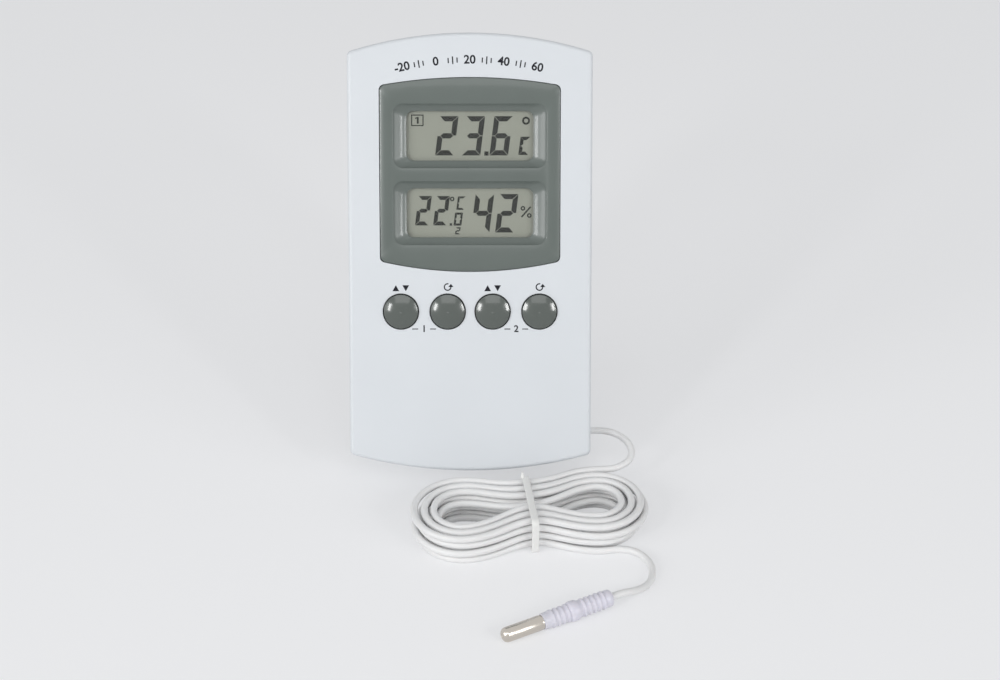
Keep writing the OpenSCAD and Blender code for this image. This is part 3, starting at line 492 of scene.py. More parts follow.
class Finish(Enum):
    """Every finish of the object, each made once."""

    # The housing's seam, 10 mm behind the face, is darkened with painted shade of its groove
    HOUSING = MouldedPlastic(linear(214, 218, 222), seam=0.01)
    BEZEL = GlossPlastic(linear(95, 103, 99), 0.3, 4.0e-6, 0.2)
    BUTTON = GlossPlastic(linear(82, 88, 84), 0.17)
    PANE = ClearPane()
    DISPLAY = DisplayGlass(linear(153, 153, 142))
    SEGMENT = Ink(linear(32, 33, 29), 0.42)
    PRINT = Ink(linear(34, 34, 40))
    CORD = SoftVinyl(linear(233, 233, 233), 0.38)
    SLEEVE = SoftVinyl(linear(221, 219, 230), 0.36, depth=0.0015, glow=0.35)
    TIE = MouldedPlastic(linear(232, 232, 230), 0.34, 3.0e-6)
    CAPSULE = BareMetal(linear(206, 199, 190), 0.2, (0.12, 1.0, 1.0), (0.0, 0.0, math.radians(-26)))
    ZINC = BareMetal(linear(190, 190, 194), 0.32)
    CONTACT = BareMetal(linear(205, 203, 198), 0.28)
    CRYSTAL = BareMetal(linear(200, 200, 204), 0.25)
    STRIP = Banded(linear(208, 140, 150), linear(40, 34, 36), 0, step=0.0005)
    CELL = Banded(linear(46, 46, 50), linear(196, 132, 72), 0, edge=0.012, roughness=0.3)
    BOARD = BoardMask(linear(34, 92, 58), linear(52, 122, 78))
    SWITCH = MouldedPlastic(linear(150, 152, 156), 0.4)
    STEM = MouldedPlastic(linear(34, 34, 36), 0.45)
    RESIN = MouldedPlastic(linear(24, 24, 26), 0.36)
    CERAMIC = MouldedPlastic(linear(150, 122, 86), 0.5)
    FILM_BOX = MouldedPlastic(linear(228, 230, 230), 0.5)
    BEAD = MouldedPlastic(linear(30, 33, 31), 0.3)

    @property
    def material(self) -> bpy.types.Material:
        """The finish's one material."""
        name = self.name.lower() + "_finish"
        return bpy.data.materials.get(name) or self.value.material(name)


@dataclass(frozen=True)
class Stance:
    """How the upright device leans back on the table."""

    lean: float = math.radians(25)
    depth: float = 20 * MM
    height: float = 110 * MM
    rim: float = 1 * MM

    @property
    def matrix(self) -> Matrix:
        """From the upright device, with its face at y = 0, to its place on the table.

        Returns:
            The way.
        """
        sine, cosine = math.sin(self.lean), math.cos(self.lean)
        drop = (self.depth - self.rim) * sine - self.rim * cosine + self.rim
        front = self.rim * (cosine + sine - 1)
        back = (self.depth - self.rim) * cosine + (self.height - self.rim) * sine + self.rim
        return Matrix.Translation((0, -(front + back) / 2, drop)) @ Matrix.Rotation(-self.lean, 4, "X")


STANCE = Stance()


@dataclass
class Maker:
    """What every sub-assembly shares: keeping a finished bmesh as a piece of the object."""

    made: list[str] = field(default_factory=list)

    def keep(
        self, shape: Shape, name: str, finish: Finish, slot: str, smooth: float, leaned: bool = True,
    ) -> bpy.types.Object:
        """Turns a bmesh into a piece that rides on the device.

        Args:
            shape: The finished bmesh, which is freed.
            name: The piece's name.
            finish: Its finish.
            slot: Not used; it is only handed on to add, which does not use it.
            smooth: The angle in degrees up to which edges are shaded smooth.
            leaned: Whether it was drawn on the upright device, in millimetres, or in its place, in metres.

        Returns:
            The piece.
        """
        if leaned:
            bmesh.ops.transform(shape, matrix=Matrix.Scale(MM, 4), verts=shape.verts)
            bmesh.ops.transform(shape, matrix=STANCE.matrix, verts=shape.verts)
        bmesh.ops.remove_doubles(shape, verts=shape.verts, dist=MERGED)
        bmesh.ops.recalc_face_normals(shape, faces=shape.faces)
        for face in shape.faces:
            face.smooth = True
        for edge in shape.edges:
            edge.smooth = edge.calc_face_angle(0.0) < math.radians(smooth)
        mesh = bpy.data.meshes.new(name)
        shape.to_mesh(mesh)
        shape.free()
        return self.add(bpy.data.objects.new(name, mesh), finish, slot)

    def add(self, piece: bpy.types.Object, finish: Finish, slot: str) -> bpy.types.Object:
        """Links a new piece, dresses it and lets it ride on the device.

        Args:
            piece: The piece, in place.
            finish: Its finish.
            slot: Not used.

        Returns:
            The piece.
        """
        bpy.context.scene.collection.objects.link(piece)
        piece.data.materials.append(finish.material)
        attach(piece, BODY)
        self.made.append(piece.name)
        LOG.info("piece %s", piece.name)
        return piece


class Bevelled(Enum):
    """What a bevel takes off."""

    EDGES = "EDGES"
    CORNERS = "VERTICES"


def bevel(shape: Shape, what: Bevelled, parts: list, offset: float, segments: int) -> None:
    """Bevels edges, or the corners of a flat face.

    Args:
        shape: The bmesh that holds them.
        what: Which of the two.
        parts: The edges, or the corners' vertices.
        offset: The bevel's width.
        segments: The bevel's steps.
    """
    bmesh.ops.bevel(
        shape, geom=parts, offset=offset, offset_type="OFFSET", segments=segments, profile=0.5,
        affect=what.value, material=-1,
    )


def soften(shape: Shape, angle: float, offset: float, segments: int = 2) -> None:
    """Bevels every edge that is sharper than an angle.

    Args:
        shape: The bmesh.
        angle: The angle in degrees.
        offset: The bevel's width.
        segments: The bevel's steps.
    """
    sharp = [edge for edge in shape.edges if edge.calc_face_angle(0.0) > math.radians(angle)]
    bevel(shape, Bevelled.EDGES, sharp, offset, segments)


def rounded_face(
    shape: Shape, size: Triple, y: float, z: float, steps: int = 8,
) -> bmesh.types.BMFace:
    """A flat face with four round corners, upright at depth y with its middle at height z.

    Args:
        shape: The bmesh that gets it.
        size: Its width, height and corner radius.
        y: Its depth.
        z: The height of its middle.
        steps: The steps of each corner.

    Returns:
        The face.
    """
    width, height, radius = size
    before = set(shape.faces)
    place = Matrix.Translation((0, y, z)) @ UPRIGHT @ Matrix.Diagonal((width, height, 1, 1))
    made = bmesh.ops.create_grid(shape, x_segments=1, y_segments=1, size=0.5, matrix=place)
    bevel(shape, Bevelled.CORNERS, made["verts"], radius, steps)
    return next(face for face in shape.faces if face not in before)


def rounded_loop(shape: Shape, size: Triple, y: float, z: float) -> list[bmesh.types.BMEdge]:
    """The edges of a rounded rectangle, upright at depth y with its middle at height z.

    Args:
        shape: The bmesh that gets them.
        size: Its width, height and corner radius.
        y: Its depth.
        z: The height of its middle.

    Returns:
        The edges.
    """
    face = rounded_face(shape, size, y, z)
    edges = list(face.edges)
    bmesh.ops.delete(shape, geom=[face], context="FACES_ONLY")
    return edges


def bridged(shape: Shape, loops: list[list[bmesh.types.BMEdge]]) -> None:
    """Joins each loop to the next with a band of faces."""
    for first, second in zip(loops, loops[1:]):
        bmesh.ops.bridge_loops(shape, edges=first + second)


def deepen(shape: Shape, faces: list[bmesh.types.BMFace], depth: float) -> None:
    """Gives upright flat faces a thickness.

    Args:
        shape: The bmesh that holds them.
        faces: The faces.
        depth: How far back they are drawn out.
    """
    deep = bmesh.ops.extrude_face_region(shape, geom=faces, use_keep_orig=True)
    moved = [part for part in deep["geom"] if isinstance(part, bmesh.types.BMVert)]
    bmesh.ops.translate(shape, verts=moved, vec=(0, depth, 0))


def swept(profile: list[Spot], place: Matrix, steps: int = 56) -> Shape:
    """Turns a profile about z and puts it in place.

    Args:
        profile: The profile's corners as radius and height, in millimetres, closed by itself.
        place: Where the axis goes, in metres.
        steps: The steps of the turn.

    Returns:
        The turned shape, in metres.
    """
    shape = bmesh.new()
    verts = [shape.verts.new((radius * MM, 0.0, height * MM)) for radius, height in profile]
    edges = [shape.edges.new(ends) for ends in zip(verts, verts[1:])]
    bmesh.ops.spin(
        shape, geom=verts + edges, cent=(0, 0, 0), axis=(0, 0, 1), angle=math.tau, steps=steps,
        use_merge=True, use_duplicate=False,
    )
    bmesh.ops.remove_doubles(shape, verts=shape.verts, dist=MERGED)
    bmesh.ops.transform(shape, matrix=place, verts=shape.verts)
    return shape


@dataclass
class Hank(Maker):
    """How the cord is wound: layers of turns that go in and out again, drawn together at the waist."""

    diameter: float = 1.8
    layers: int = 4
    turns: int = 3
    end_step: float = 2.35
    waist_step: float = 2.7
    waist_gap: float = 0.5
    layer_step: float = 2.25
    run: float = 16.8
    reach: float = 12.5
    run_share: float = 0.45
    lift_reach: float = 10.0
    stray: float = 0.14
    stray_waves: Triple = (2.3, 1.1, 5.9)
    apart: float = 0.3
    centre: Spot = (15.0, -46.0)
    turned: float = math.radians(7)
    tie_thick: float = 0.6
    tie_gap: float = 0.1

    @property
    def lift(self) -> float:
        """How far the tie lifts the waist off the table."""
        return self.tie_thick + self.tie_gap

    @property
    def waist(self) -> float:
        """The outer turn's distance from the middle at the waist."""
        return ((2 * self.turns - 0.5) * self.waist_step + self.diameter + self.waist_gap) / 2

    @staticmethod
    def eased(share: float) -> float:
        """A soft step from 0 to 1."""
        return (1 - math.cos(math.pi * min(max(share, 0.0), 1.0))) / 2

    def raised(self, x: float) -> float:
        """How far the cord is lifted at a distance from the waist."""
        return self.lift * (1 - self.eased(x / self.lift_reach))

    def spiral(self, turn: float) -> float:
        """How many steps inwards a turn lies: in over one layer, out over the next."""
        within = turn % (2 * self.turns)
        return within if within < self.turns else 2 * self.turns - within

    def climbed(self, turn: float) -> float:
        """How many layers a turn has come down."""
        share = self.run_share / 2
        return sum(self.eased((turn - k * self.turns) / share + 0.5) for k in range(1, self.layers))

    def laid(self, x: float, y: float, z: float) -> Vector:
        """From the hank's own directions to the table, in millimetres."""
        cosine, sine = math.cos(self.turned), math.sin(self.turned)
        return Vector((self.centre[0] + x * cosine - y * sine, self.centre[1] + x * sine + y * cosine, z))

    def on_hank(self, turn: float) -> Vector:
        """A place on the hank.

        Args:
            turn: Turns since the middle of the back run.

        Returns:
            The place, in millimetres.
        """
        quarter = 4 * (turn - math.floor(turn))
        part = int(quarter)
        share = quarter - part if part % 2 == 0 else 1 - (quarter - part)
        slow, shift, fast = self.stray_waves
        stray = self.stray * math.sin(slow * turn + shift) * math.sin(fast * turn)
        end = self.reach - self.end_step * self.spiral(turn) + stray
        waist = self.waist - self.waist_step * self.spiral(turn)
        if share <= self.run_share:
            x = self.run * share / self.run_share
            y = waist + (end - waist) * self.eased(share / self.run_share)
        else:
            angle = math.radians(90) * (share - self.run_share) / (1 - self.run_share)
            x = self.run + end * math.sin(angle)
            y = end * math.cos(angle)
        z = self.diameter / 2 + self.layer_step * (self.layers - 1 - self.climbed(turn)) + self.raised(x)
        return self.laid(-x if part < 2 else x, y if part in (0, 3) else -y, z)

    def beside(self, share: float, side: int, steps_in: float, z: float) -> Vector:
        """A place beside the hank on the way to its waist.

        Args:
            share: How far along the run, 0 at the waist.
            side: 1 at the back, -1 in front.
            steps_in: How many steps in it lies.
            z: Its height away from the waist.

        Returns:
            The place, in millimetres.
        """
        x = self.run * share
        waist = self.waist - self.waist_step * steps_in
        end = self.reach - self.end_step * steps_in + self.apart
        return self.laid(x, side * (waist + (end - waist) * self.eased(share)), z + self.raised(x))


@dataclass
class CordSet(Hank):
    """The cord from the device's side to the probe, with its tie, sleeve and capsule."""

    way_out: Triple = (30.5, 10.0, 8.7)
    straight: float = 1.2
    per_turn: int = 48
    droop: tuple[Triple, ...] = (
        (34.6, -19.6, 11.7), (36.6, -20, 11.4), (38.6, -21, 11), (40.2, -22.6, 10.5), (41.1, -24.6, 9.9),
        (41.2, -26.7, 9.3), (40.3, -28.6, 8.7), (38.5, -30, 8.2), (36.1, -30.8, 7.8),
    )
    bend: tuple[Triple, ...] = (
        (36.4, -55, 0.9), (39, -55.3, 0.9), (41.3, -56.5, 0.9), (43, -58.5, 0.9), (44, -61, 0.9),
        (44.3, -63.6, 0.9), (43.9, -66.2, 0.9), (42.8, -68.6, 1), (41.2, -70.7, 1.5), (39.3, -72.4, 2.2),
        (37.4, -73.7, 2.8),
    )
    back_shares: tuple[float, ...] = (1.14, 0.97, 0.8, 0.63, 0.46, 0.3)
    front_shares: tuple[float, ...] = (0.3, 0.46, 0.63, 0.8, 0.97)
    long_step: float = 1.9
    tie_width: float = 1.8
    tie_soft: float = 0.26
    nub_radii: Spot = (0.62, 0.22)
    nub_long: float = 1.5
    nub_lean: float = math.radians(28)
    nub_sunk: float = 0.2
    nub_soft: float = 0.12
    probe_at: Spot = (33.6, -75.6)
    probe_turned: float = math.radians(206)
    bore_r: float = 0.95
    sleeve: float = 18.2
    sleeve_r: float = 2.1
    sleeve_mouth: tuple[Spot, ...] = ((-0.45, 0.0), (-0.1, 0.35), (0.0, 1.2))
    rib_deep: float = 0.12
    rib: tuple[tuple[int, float], ...] = ((-1, 0.0), (1, 0.22), (1, 0.55), (-1, 0.8))
    rib_first: float = 2.0
    rib_last: float = 2.6
    rib_middle: float = 0.35
    rib_pitch: float = 1.3
    rib_clear: float = 0.5
    band_r: float = 2.45
    band_at: float = 9.0
    band_long: float = 2.2
    band_soft: float = 0.12
    tip: float = 10.4
    tip_r: float = 1.8
    tip_in: float = 4.0
    tip_wall: float = 0.45
    nose_share: float = 0.75
    nose_steps: int = 9
    neck: float = 0.4
    neck_end: float = 1.5
    neck_mouth: float = 1.7
    neck_clear: float = 0.02
    dimple: tuple[Spot, ...] = ((0.62, 0.0), (0.5, 0.06), (0.35, 0.22), (0.0, 0.3))

    @property
    def nose(self) -> float:
        """How long the capsule's round nose is."""
        return self.nose_share * self.tip_r

    @property
    def probe_tilt(self) -> float:
        """The angle at which the probe lies on its band and its capsule."""
        rest = self.sleeve + self.tip - self.nose - self.band_at - self.band_long
        return math.atan((self.band_r - self.tip_r) / rest)

    @property
    def probe_start(self) -> Vector:
        """Where the cord goes into the sleeve.

        Returns:
            The place, in millimetres.
        """
        tilt = self.probe_tilt
        height = (self.band_at + self.band_long) * math.sin(tilt) + self.band_r * math.cos(tilt)
        return Vector((*self.probe_at, height))

    @property
    def probe_matrix(self) -> Matrix:
        """Puts a shape drawn along +z, in metres, on the probe's axis.

        Returns:
            The way.
        """
        turn = Matrix.Rotation(self.probe_turned, 4, "Z")
        turn = turn @ Matrix.Rotation(math.radians(90) + self.probe_tilt, 4, "Y")
        return Matrix.Translation(self.probe_start * MM) @ turn

    def route(self) -> list[Vector]:
        """The cord's whole way: out of the side, round the hank and into the sleeve.

        Returns:
            Its places, in millimetres.
        """
        side = STANCE.matrix @ Vector([part * MM for part in self.way_out]) / MM
        straight = self.straight * self.diameter
        along = Vector((math.cos(self.turned), math.sin(self.turned), 0))
        top = self.diameter / 2 + self.layer_step * (self.layers - 1)
        last = self.layers * self.turns - 0.5
        probe_way = self.probe_matrix.to_3x3() @ Vector((0, 0, 1))
        way = [side, side + Vector((straight, 0, 0))]
        way += [Vector(place) for place in self.droop]
        way += [self.beside(share, 1, 0, top) for share in self.back_shares]
        way += [self.on_hank(0) + along * straight]
        way += [self.on_hank(i / self.per_turn) for i in range(int(last * self.per_turn))]
        way += [self.on_hank(last), self.on_hank(last) + along * straight]
        way += [self.beside(share, -1, 0.5, self.diameter / 2) for share in self.front_shares]
        way += [Vector(place) for place in self.bend]
        way += [self.probe_start - probe_way * straight, self.probe_start]
        return way

    def smoothed(self, way: list[Vector], steps: int = 3) -> list[Vector]:
        """A soft curve through all the places.

        Args:
            way: The places.
            steps: The steps between two of them that lie far apart.

        Returns:
            More places on a smooth curve.
        """
        ends = [way[0] * 2 - way[1]] + way + [way[-1] * 2 - way[-2]]
        made = []
        for a, b, c, d in zip(ends, ends[1:], ends[2:], ends[3:]):
            count = steps if (c - b).length > self.long_step else 1
            for t in [k / count for k in range(count)]:
                square = (2 * a - 5 * b + 4 * c - d) * t ** 2
                cube = (3 * b - a - 3 * c + d) * t ** 3
                made.append(0.5 * (2 * b + (c - a) * t + square + cube))
        return made + [way[-1]]

    def build(self) -> None:
        way = self.smoothed(self.route())
        curve = bpy.data.curves.new("sensor_cord", "CURVE")
        curve.dimensions = "3D"
        curve.bevel_depth = self.diameter / 2 * MM
        curve.bevel_resolution = 3
        curve.use_fill_caps = True
        spline = curve.splines.new("POLY")
        spline.points.add(len(way) - 1)
        for point, place in zip(spline.points, way):
            point.co = (*(place * MM), 1.0)
        spline.use_smooth = True
        cord = self.add(bpy.data.objects.new("sensor_cord", curve), Finish.CORD, "cord")
        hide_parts("sensor_lead", "sensor_hank", "sensor_tail")
        length = sum((b - a).length for a, b in zip(way, way[1:])) * MM
        LOG.info("cord length %.4f m", length)
        pieces = [self.make_tie(), self.make_sleeve(), self.make_capsule(), "probe_thermistor"]
        tuple(way[0] * MM)

    def make_tie(self) -> bpy.types.Object:
        """Makes the tie: a band round the waist with its two ends twisted together on top.

        Returns:
            The tie.
        """
        half = self.waist + self.diameter / 2 + self.tie_gap
        low = self.lift - self.tie_gap
        high = self.diameter + self.lift + self.layer_step * (self.layers - 1) + self.tie_gap
        shape = bmesh.new()
        inner_r = self.diameter / 2 + self.tie_gap
        outside = (2 * (half + self.tie_thick), high - low + 2 * self.tie_thick, inner_r + self.tie_thick)
        outer = rounded_loop(shape, outside, 0, 0)
        inner = rounded_loop(shape, (2 * half, high - low, inner_r), 0.01, 0)
        bridged(shape, [outer, inner])
        deepen(shape, list(shape.faces), self.tie_width)
        bmesh.ops.translate(shape, verts=shape.verts, vec=(0, -self.tie_width / 2, 0))
        soften(shape, 60, self.tie_soft, 3)
        sunk = self.nub_sunk
        root = (half - sunk, self.tie_width / 2 - sunk, (high - low) / 2 + self.tie_thick + sunk)
        nub = bmesh.ops.create_cone(
            shape, cap_ends=True, segments=20, radius1=self.nub_radii[0], radius2=self.nub_radii[1],
            depth=self.nub_long, matrix=Matrix.Translation(root) @ Matrix.Rotation(self.nub_lean, 4, "Y"),
        )
        ends = {edge for vert in nub["verts"] for edge in vert.link_edges if edge.calc_face_angle(0.0) > 1.0}
        bevel(shape, Bevelled.EDGES, list(ends), self.nub_soft, 3)
        place = Matrix.Translation((*self.centre, (low + high) / 2))
        place = place @ Matrix.Rotation(self.turned + math.radians(90), 4, "Z")
        bmesh.ops.transform(shape, matrix=Matrix.Scale(MM, 4) @ place, verts=shape.verts)
        tie = self.keep(shape, "hank_band", Finish.TIE, "tie", smooth=35.0, leaned=False)
        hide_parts("hank_tie")
        return tie

    def rib_places(self) -> list[float]:
        """Where the ribs begin along the sleeve, clear of its band.

        Returns:
            The places.
        """
        made = []
        place = self.rib_first
        while place < self.sleeve - self.rib_last:
            apart = abs(place + self.rib_middle - self.band_at - self.band_long / 2)
            if apart < self.band_long / 2 + self.rib_clear:
                place += self.rib_clear / 2
            else:
                made.append(place)
                place += self.rib_pitch
        return made

    def make_sleeve(self) -> bpy.types.Object:
        """Makes the ribbed sleeve with the band round its middle.

        Returns:
            The sleeve.
        """
        radius, band, soft = self.sleeve_r, self.band_r, self.band_soft
        start, end = self.band_at, self.band_at + self.band_long
        outer = [(self.bore_r, 0.0)] + [(radius + out, place) for out, place in self.sleeve_mouth]
        for place in self.rib_places():
            outer += [(radius + side * self.rib_deep, place + along) for side, along in self.rib]
        outer += [(radius, start - 0.25), (band - soft, start + 0.1), (band, start + 0.5)]
        outer += [(band, end - 0.4), (band - soft, end - 0.05), (radius - 0.02, end + 0.3)]
        outer.sort(key=lambda corner: corner[1])
        outer += [(radius - 0.06, self.sleeve - 1.2), (radius - 0.16, self.sleeve - 0.15)]
        inside = self.sleeve - self.tip_in
        outer += [(self.neck_mouth + self.neck_clear, self.sleeve), (self.neck_end + self.neck_clear, inside)]
        outer += [(self.bore_r, inside), outer[0]]
        shape = swept(outer, self.probe_matrix)
        sleeve = self.keep(shape, "ribbed_sleeve", Finish.SLEEVE, "sleeve", smooth=50.0, leaned=False)
        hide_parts("probe_sleeve")
        return sleeve

    def make_capsule(self) -> bpy.types.Object:
        """Makes the drawn metal capsule with its crimped neck, round nose and dimple.

        Returns:
            The capsule.
        """
        nose, radius = self.nose, self.tip_r
        start, mouth, end = self.sleeve - self.tip_in, self.sleeve + self.neck, self.sleeve + self.tip
        inside = radius - self.tip_wall
        corners = [(inside, start), (self.neck_end, start), (self.neck_mouth - 0.03, mouth)]
        corners += [(radius - 0.05, mouth), (radius, mouth + 0.06), (radius, end - nose)]
        for angle in [math.radians(90) * k / self.nose_steps for k in range(1, self.nose_steps)]:
            corners.append((radius - nose + nose * math.cos(angle), end - nose + nose * math.sin(angle)))
        corners += [(reach, end - depth) for reach, depth in self.dimple]
        corners += [(0.0, end - nose), (inside, end - nose - 0.3), (inside, start)]
        shape = swept(corners, self.probe_matrix)
        capsule = self.keep(shape, "metal_capsule", Finish.CAPSULE, "tip", smooth=40.0, leaned=False)
        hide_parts("probe_tip")
        return capsule


@dataclass
class BezelInsert(Maker):
    """The dark insert with its two sunk windows, and the clear panes behind them."""

    width: float = 45.0
    low: float = 50.8
    height: float = 48.2
    top_rise: float = 2.0
    bottom_rise: float = 2.6
    corner: float = 1.3
    sink: float = 0.2
    soft: float = 0.18
    step: float = 0.01
    seat: float = 2.0
    back: float = 4.4
    flange: float = 1.2
    mouth: Triple = (38.3, 15.9, 2.5)
    glass: Triple = (31.7, 12.3, 1.8)
    pane: Triple = (34.7, 15.3, 0.6)
    pocket: Triple = (37.2, 17.4, 0.2)
    glass_depth: float = 1.8
    pane_back: float = 2.8
    pane_size: Triple = (34.5, 15.1, 0.5)
    pane_thick: float = 0.88
    pane_play: float = 0.02
    lips: tuple[tuple[float, float, float, float], ...] = (
        (0.24, 0.24, 0.12, 0.0), (0.06, 0.06, 0.03, 0.04), (-0.12, -0.1, -0.05, 0.14),
    )
    lip_deep: float = 0.2
    lip_straight: float = 0.1
    slope_shares: tuple[float, ...] = (0.2, 0.4, 0.6, 0.8, 0.97)
    slope_hollow: float = 1.35
    heights: Spot = (65.4, 84.6)

    def outline(self, shape: Shape, y: float, grow: float) -> list[bmesh.types.BMEdge]:
        """Adds the insert's bulged outline.

        Args:
            shape: The bmesh that gets it.
            y: Its depth.
            grow: How far it is drawn outwards.

        Returns:
            The outline's edges.
        """
        width, height = self.width + 2 * grow, self.height + 2 * grow
        before = set(shape.faces)
        made = bmesh.ops.create_grid(shape, x_segments=20, y_segments=1, size=0.5, matrix=Matrix())
        corners = []
        for vert in made["verts"]:
            across, upper = vert.co.x, vert.co.y > 0
            bulge = (self.top_rise if upper else self.bottom_rise) * (2 * across) ** 2
            if abs(abs(across) - 0.5) < 1.0e-6:
                corners.append(vert)
            vert.co = Vector((across * width, (height / 2 - bulge) * (1 if upper else -1), 0))
        place = Matrix.Translation((0, y, self.low + self.height / 2)) @ UPRIGHT
        bmesh.ops.transform(shape, matrix=place, verts=made["verts"])
        bevel(shape, Bevelled.CORNERS, corners, self.corner + grow * 0.6, 8)
        faces = set(shape.faces) - before
        inside = [edge for edge in shape.edges if len(edge.link_faces) == 2 and edge.link_faces[0] in faces]
        bmesh.ops.dissolve_edges(shape, edges=inside, use_verts=False)
        face = next(face for face in shape.faces if face not in before)
        edges = list(face.edges)
        bmesh.ops.delete(shape, geom=[face], context="FACES_ONLY")
        return edges

    def window(self, shape: Shape, z: float) -> tuple[list, list]:
        """Adds one window: its lip, its hollow sloped wall, the pane's seat and the display's pocket.

        Args:
            shape: The bmesh that gets it.
            z: The height of its middle.

        Returns:
            The edges of its front and of its back.
        """
        wide, high, radius = self.mouth
        rows = [((wide + a, high + b, radius + c), self.sink + deep) for a, b, c, deep in self.lips]
        for share in self.slope_shares:
            between = tuple(a + (b - a) * share for a, b in zip(self.mouth, self.glass))
            whole = self.glass_depth - self.sink - self.lip_deep - self.lip_straight
            deep = whole * (1 - (1 - share) ** self.slope_hollow)
            rows.append((between, self.sink + self.lip_deep + deep))
        rows += [
            (self.glass, self.glass_depth - 0.05), (self.glass, self.glass_depth),
            (self.pane, self.glass_depth + self.step), (self.pane, self.pane_back),
            (self.pocket, self.pane_back + self.step), (self.pocket, self.back),
        ]
        loops = [rounded_loop(shape, size, y, z) for size, y in rows]
        bridged(shape, loops)
        return loops[0], loops[-1]

    def make_insert(self) -> None:
        """Makes the insert with soft lips round its two windows."""
        shape = bmesh.new()
        places = [
            (self.sink, -self.soft), (self.sink + self.soft * 0.35, -self.soft * 0.3),
            (self.sink + self.soft, 0), (self.seat, 0), (self.seat + self.step, self.flange),
            (self.back, self.flange),
        ]
        rows = [self.outline(shape, y, grow) for y, grow in places]
        front, back = list(rows[0]), list(rows[-1])
        for z in self.heights:
            opening, pocket = self.window(shape, z)
            front += opening
            back += pocket
        bridged(shape, rows)
        for edges in (front, back):
            bmesh.ops.triangle_fill(shape, use_beauty=True, use_dissolve=False, edges=edges)
        insert = self.keep(shape, "bezel_insert", Finish.BEZEL, "bezel", smooth=32.0)
        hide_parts("display_bezel")

    def make_pane(self, name: str, node: str, z: float) -> None:
        """Makes one clear pane, a little smaller than its seat.

        Args:
            name: The piece's name.
            node: The solid that it replaces.
            z: The height of its middle.
        """
        shape = bmesh.new()
        face = rounded_face(shape, self.pane_size, self.glass_depth + self.pane_play, z, 5)
        deepen(shape, [face], self.pane_thick)
        soften(shape, 60, 0.08)
        pane = self.keep(shape, name, Finish.PANE, "window", smooth=12.0)
        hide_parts(node)

    def build(self) -> None:
        """Makes the insert and both panes."""
        self.make_insert()
        self.make_pane("lower_pane", "lower_window", self.heights[0])
        self.make_pane("upper_pane", "upper_window", self.heights[1])


# A bar's corners: across and up in shares of the numeral, then across and up in half widths of the bar
LEVEL_BAR = ((0, 1, -1, 1), (1, 1, 1, 1), (1, 1, -1, -1), (0, 1, 1, -1))
SIDE_BAR = ((1, 1, 1, 1), (1, 0.5, 1, 0), (1, 0.5, 0, 0), (1, 0.5, -1, 1), (1, 1, -1, -1))
CROSS_BAR = (
    (0, 0.5, 0, 0), (0, 0.5, 1, 1), (1, 0.5, -1, 1), (1, 0.5, 0, 0), (1, 0.5, -1, -1), (0, 0.5, 1, -1),
)


class Bar(Enum):
    """The seven bars of a numeral, each a mitred shape and how it is mirrored across and up."""

    TOP = (LEVEL_BAR, 1, 1)
    TOP_RIGHT = (SIDE_BAR, 1, 1)
    LOW_RIGHT = (SIDE_BAR, 1, -1)
    FOOT = (LEVEL_BAR, 1, -1)
    LOW_LEFT = (SIDE_BAR, -1, -1)
    TOP_LEFT = (SIDE_BAR, -1, 1)
    MIDDLE = (CROSS_BAR, 1, 1)

    def corners(self, wide: float, high: float, thick: float) -> list[Vector]:
        """The bar's corners about the middle of its numeral.

        Args:
            wide: The distance between the lines of the side bars.
            high: The distance between the lines of the top bar and the foot.
            thick: The bar's width.

        Returns:
            The corners, each across and up.
        """
        shape, across, up = self.value
        made = []
        for u, v, out, above in shape:
            x = ((u - 0.5) * wide + out * thick / 2) * across
            made.append(Vector((x, ((v - 0.5) * high + above * thick / 2) * up)))
        return made


NUMERALS = {
    "0": (Bar.TOP, Bar.TOP_RIGHT, Bar.LOW_RIGHT, Bar.FOOT, Bar.LOW_LEFT, Bar.TOP_LEFT),
    "2": (Bar.TOP, Bar.TOP_RIGHT, Bar.MIDDLE, Bar.LOW_LEFT, Bar.FOOT),
    "3": (Bar.TOP, Bar.TOP_RIGHT, Bar.MIDDLE, Bar.LOW_RIGHT, Bar.FOOT),
    "4": (Bar.TOP_LEFT, Bar.MIDDLE, Bar.TOP_RIGHT, Bar.LOW_RIGHT),
    "6": (Bar.TOP, Bar.TOP_LEFT, Bar.MIDDLE, Bar.LOW_LEFT, Bar.LOW_RIGHT, Bar.FOOT),
    "C": (Bar.TOP, Bar.TOP_LEFT, Bar.LOW_LEFT, Bar.FOOT),
}


@dataclass(frozen=True)
class Cell:
    """One numeral on a display, in millimetres: the middle of its foot, its size and its bars' width."""

    numeral: str
    x: float
    z: float
    wide: float
    high: float
    thick: float


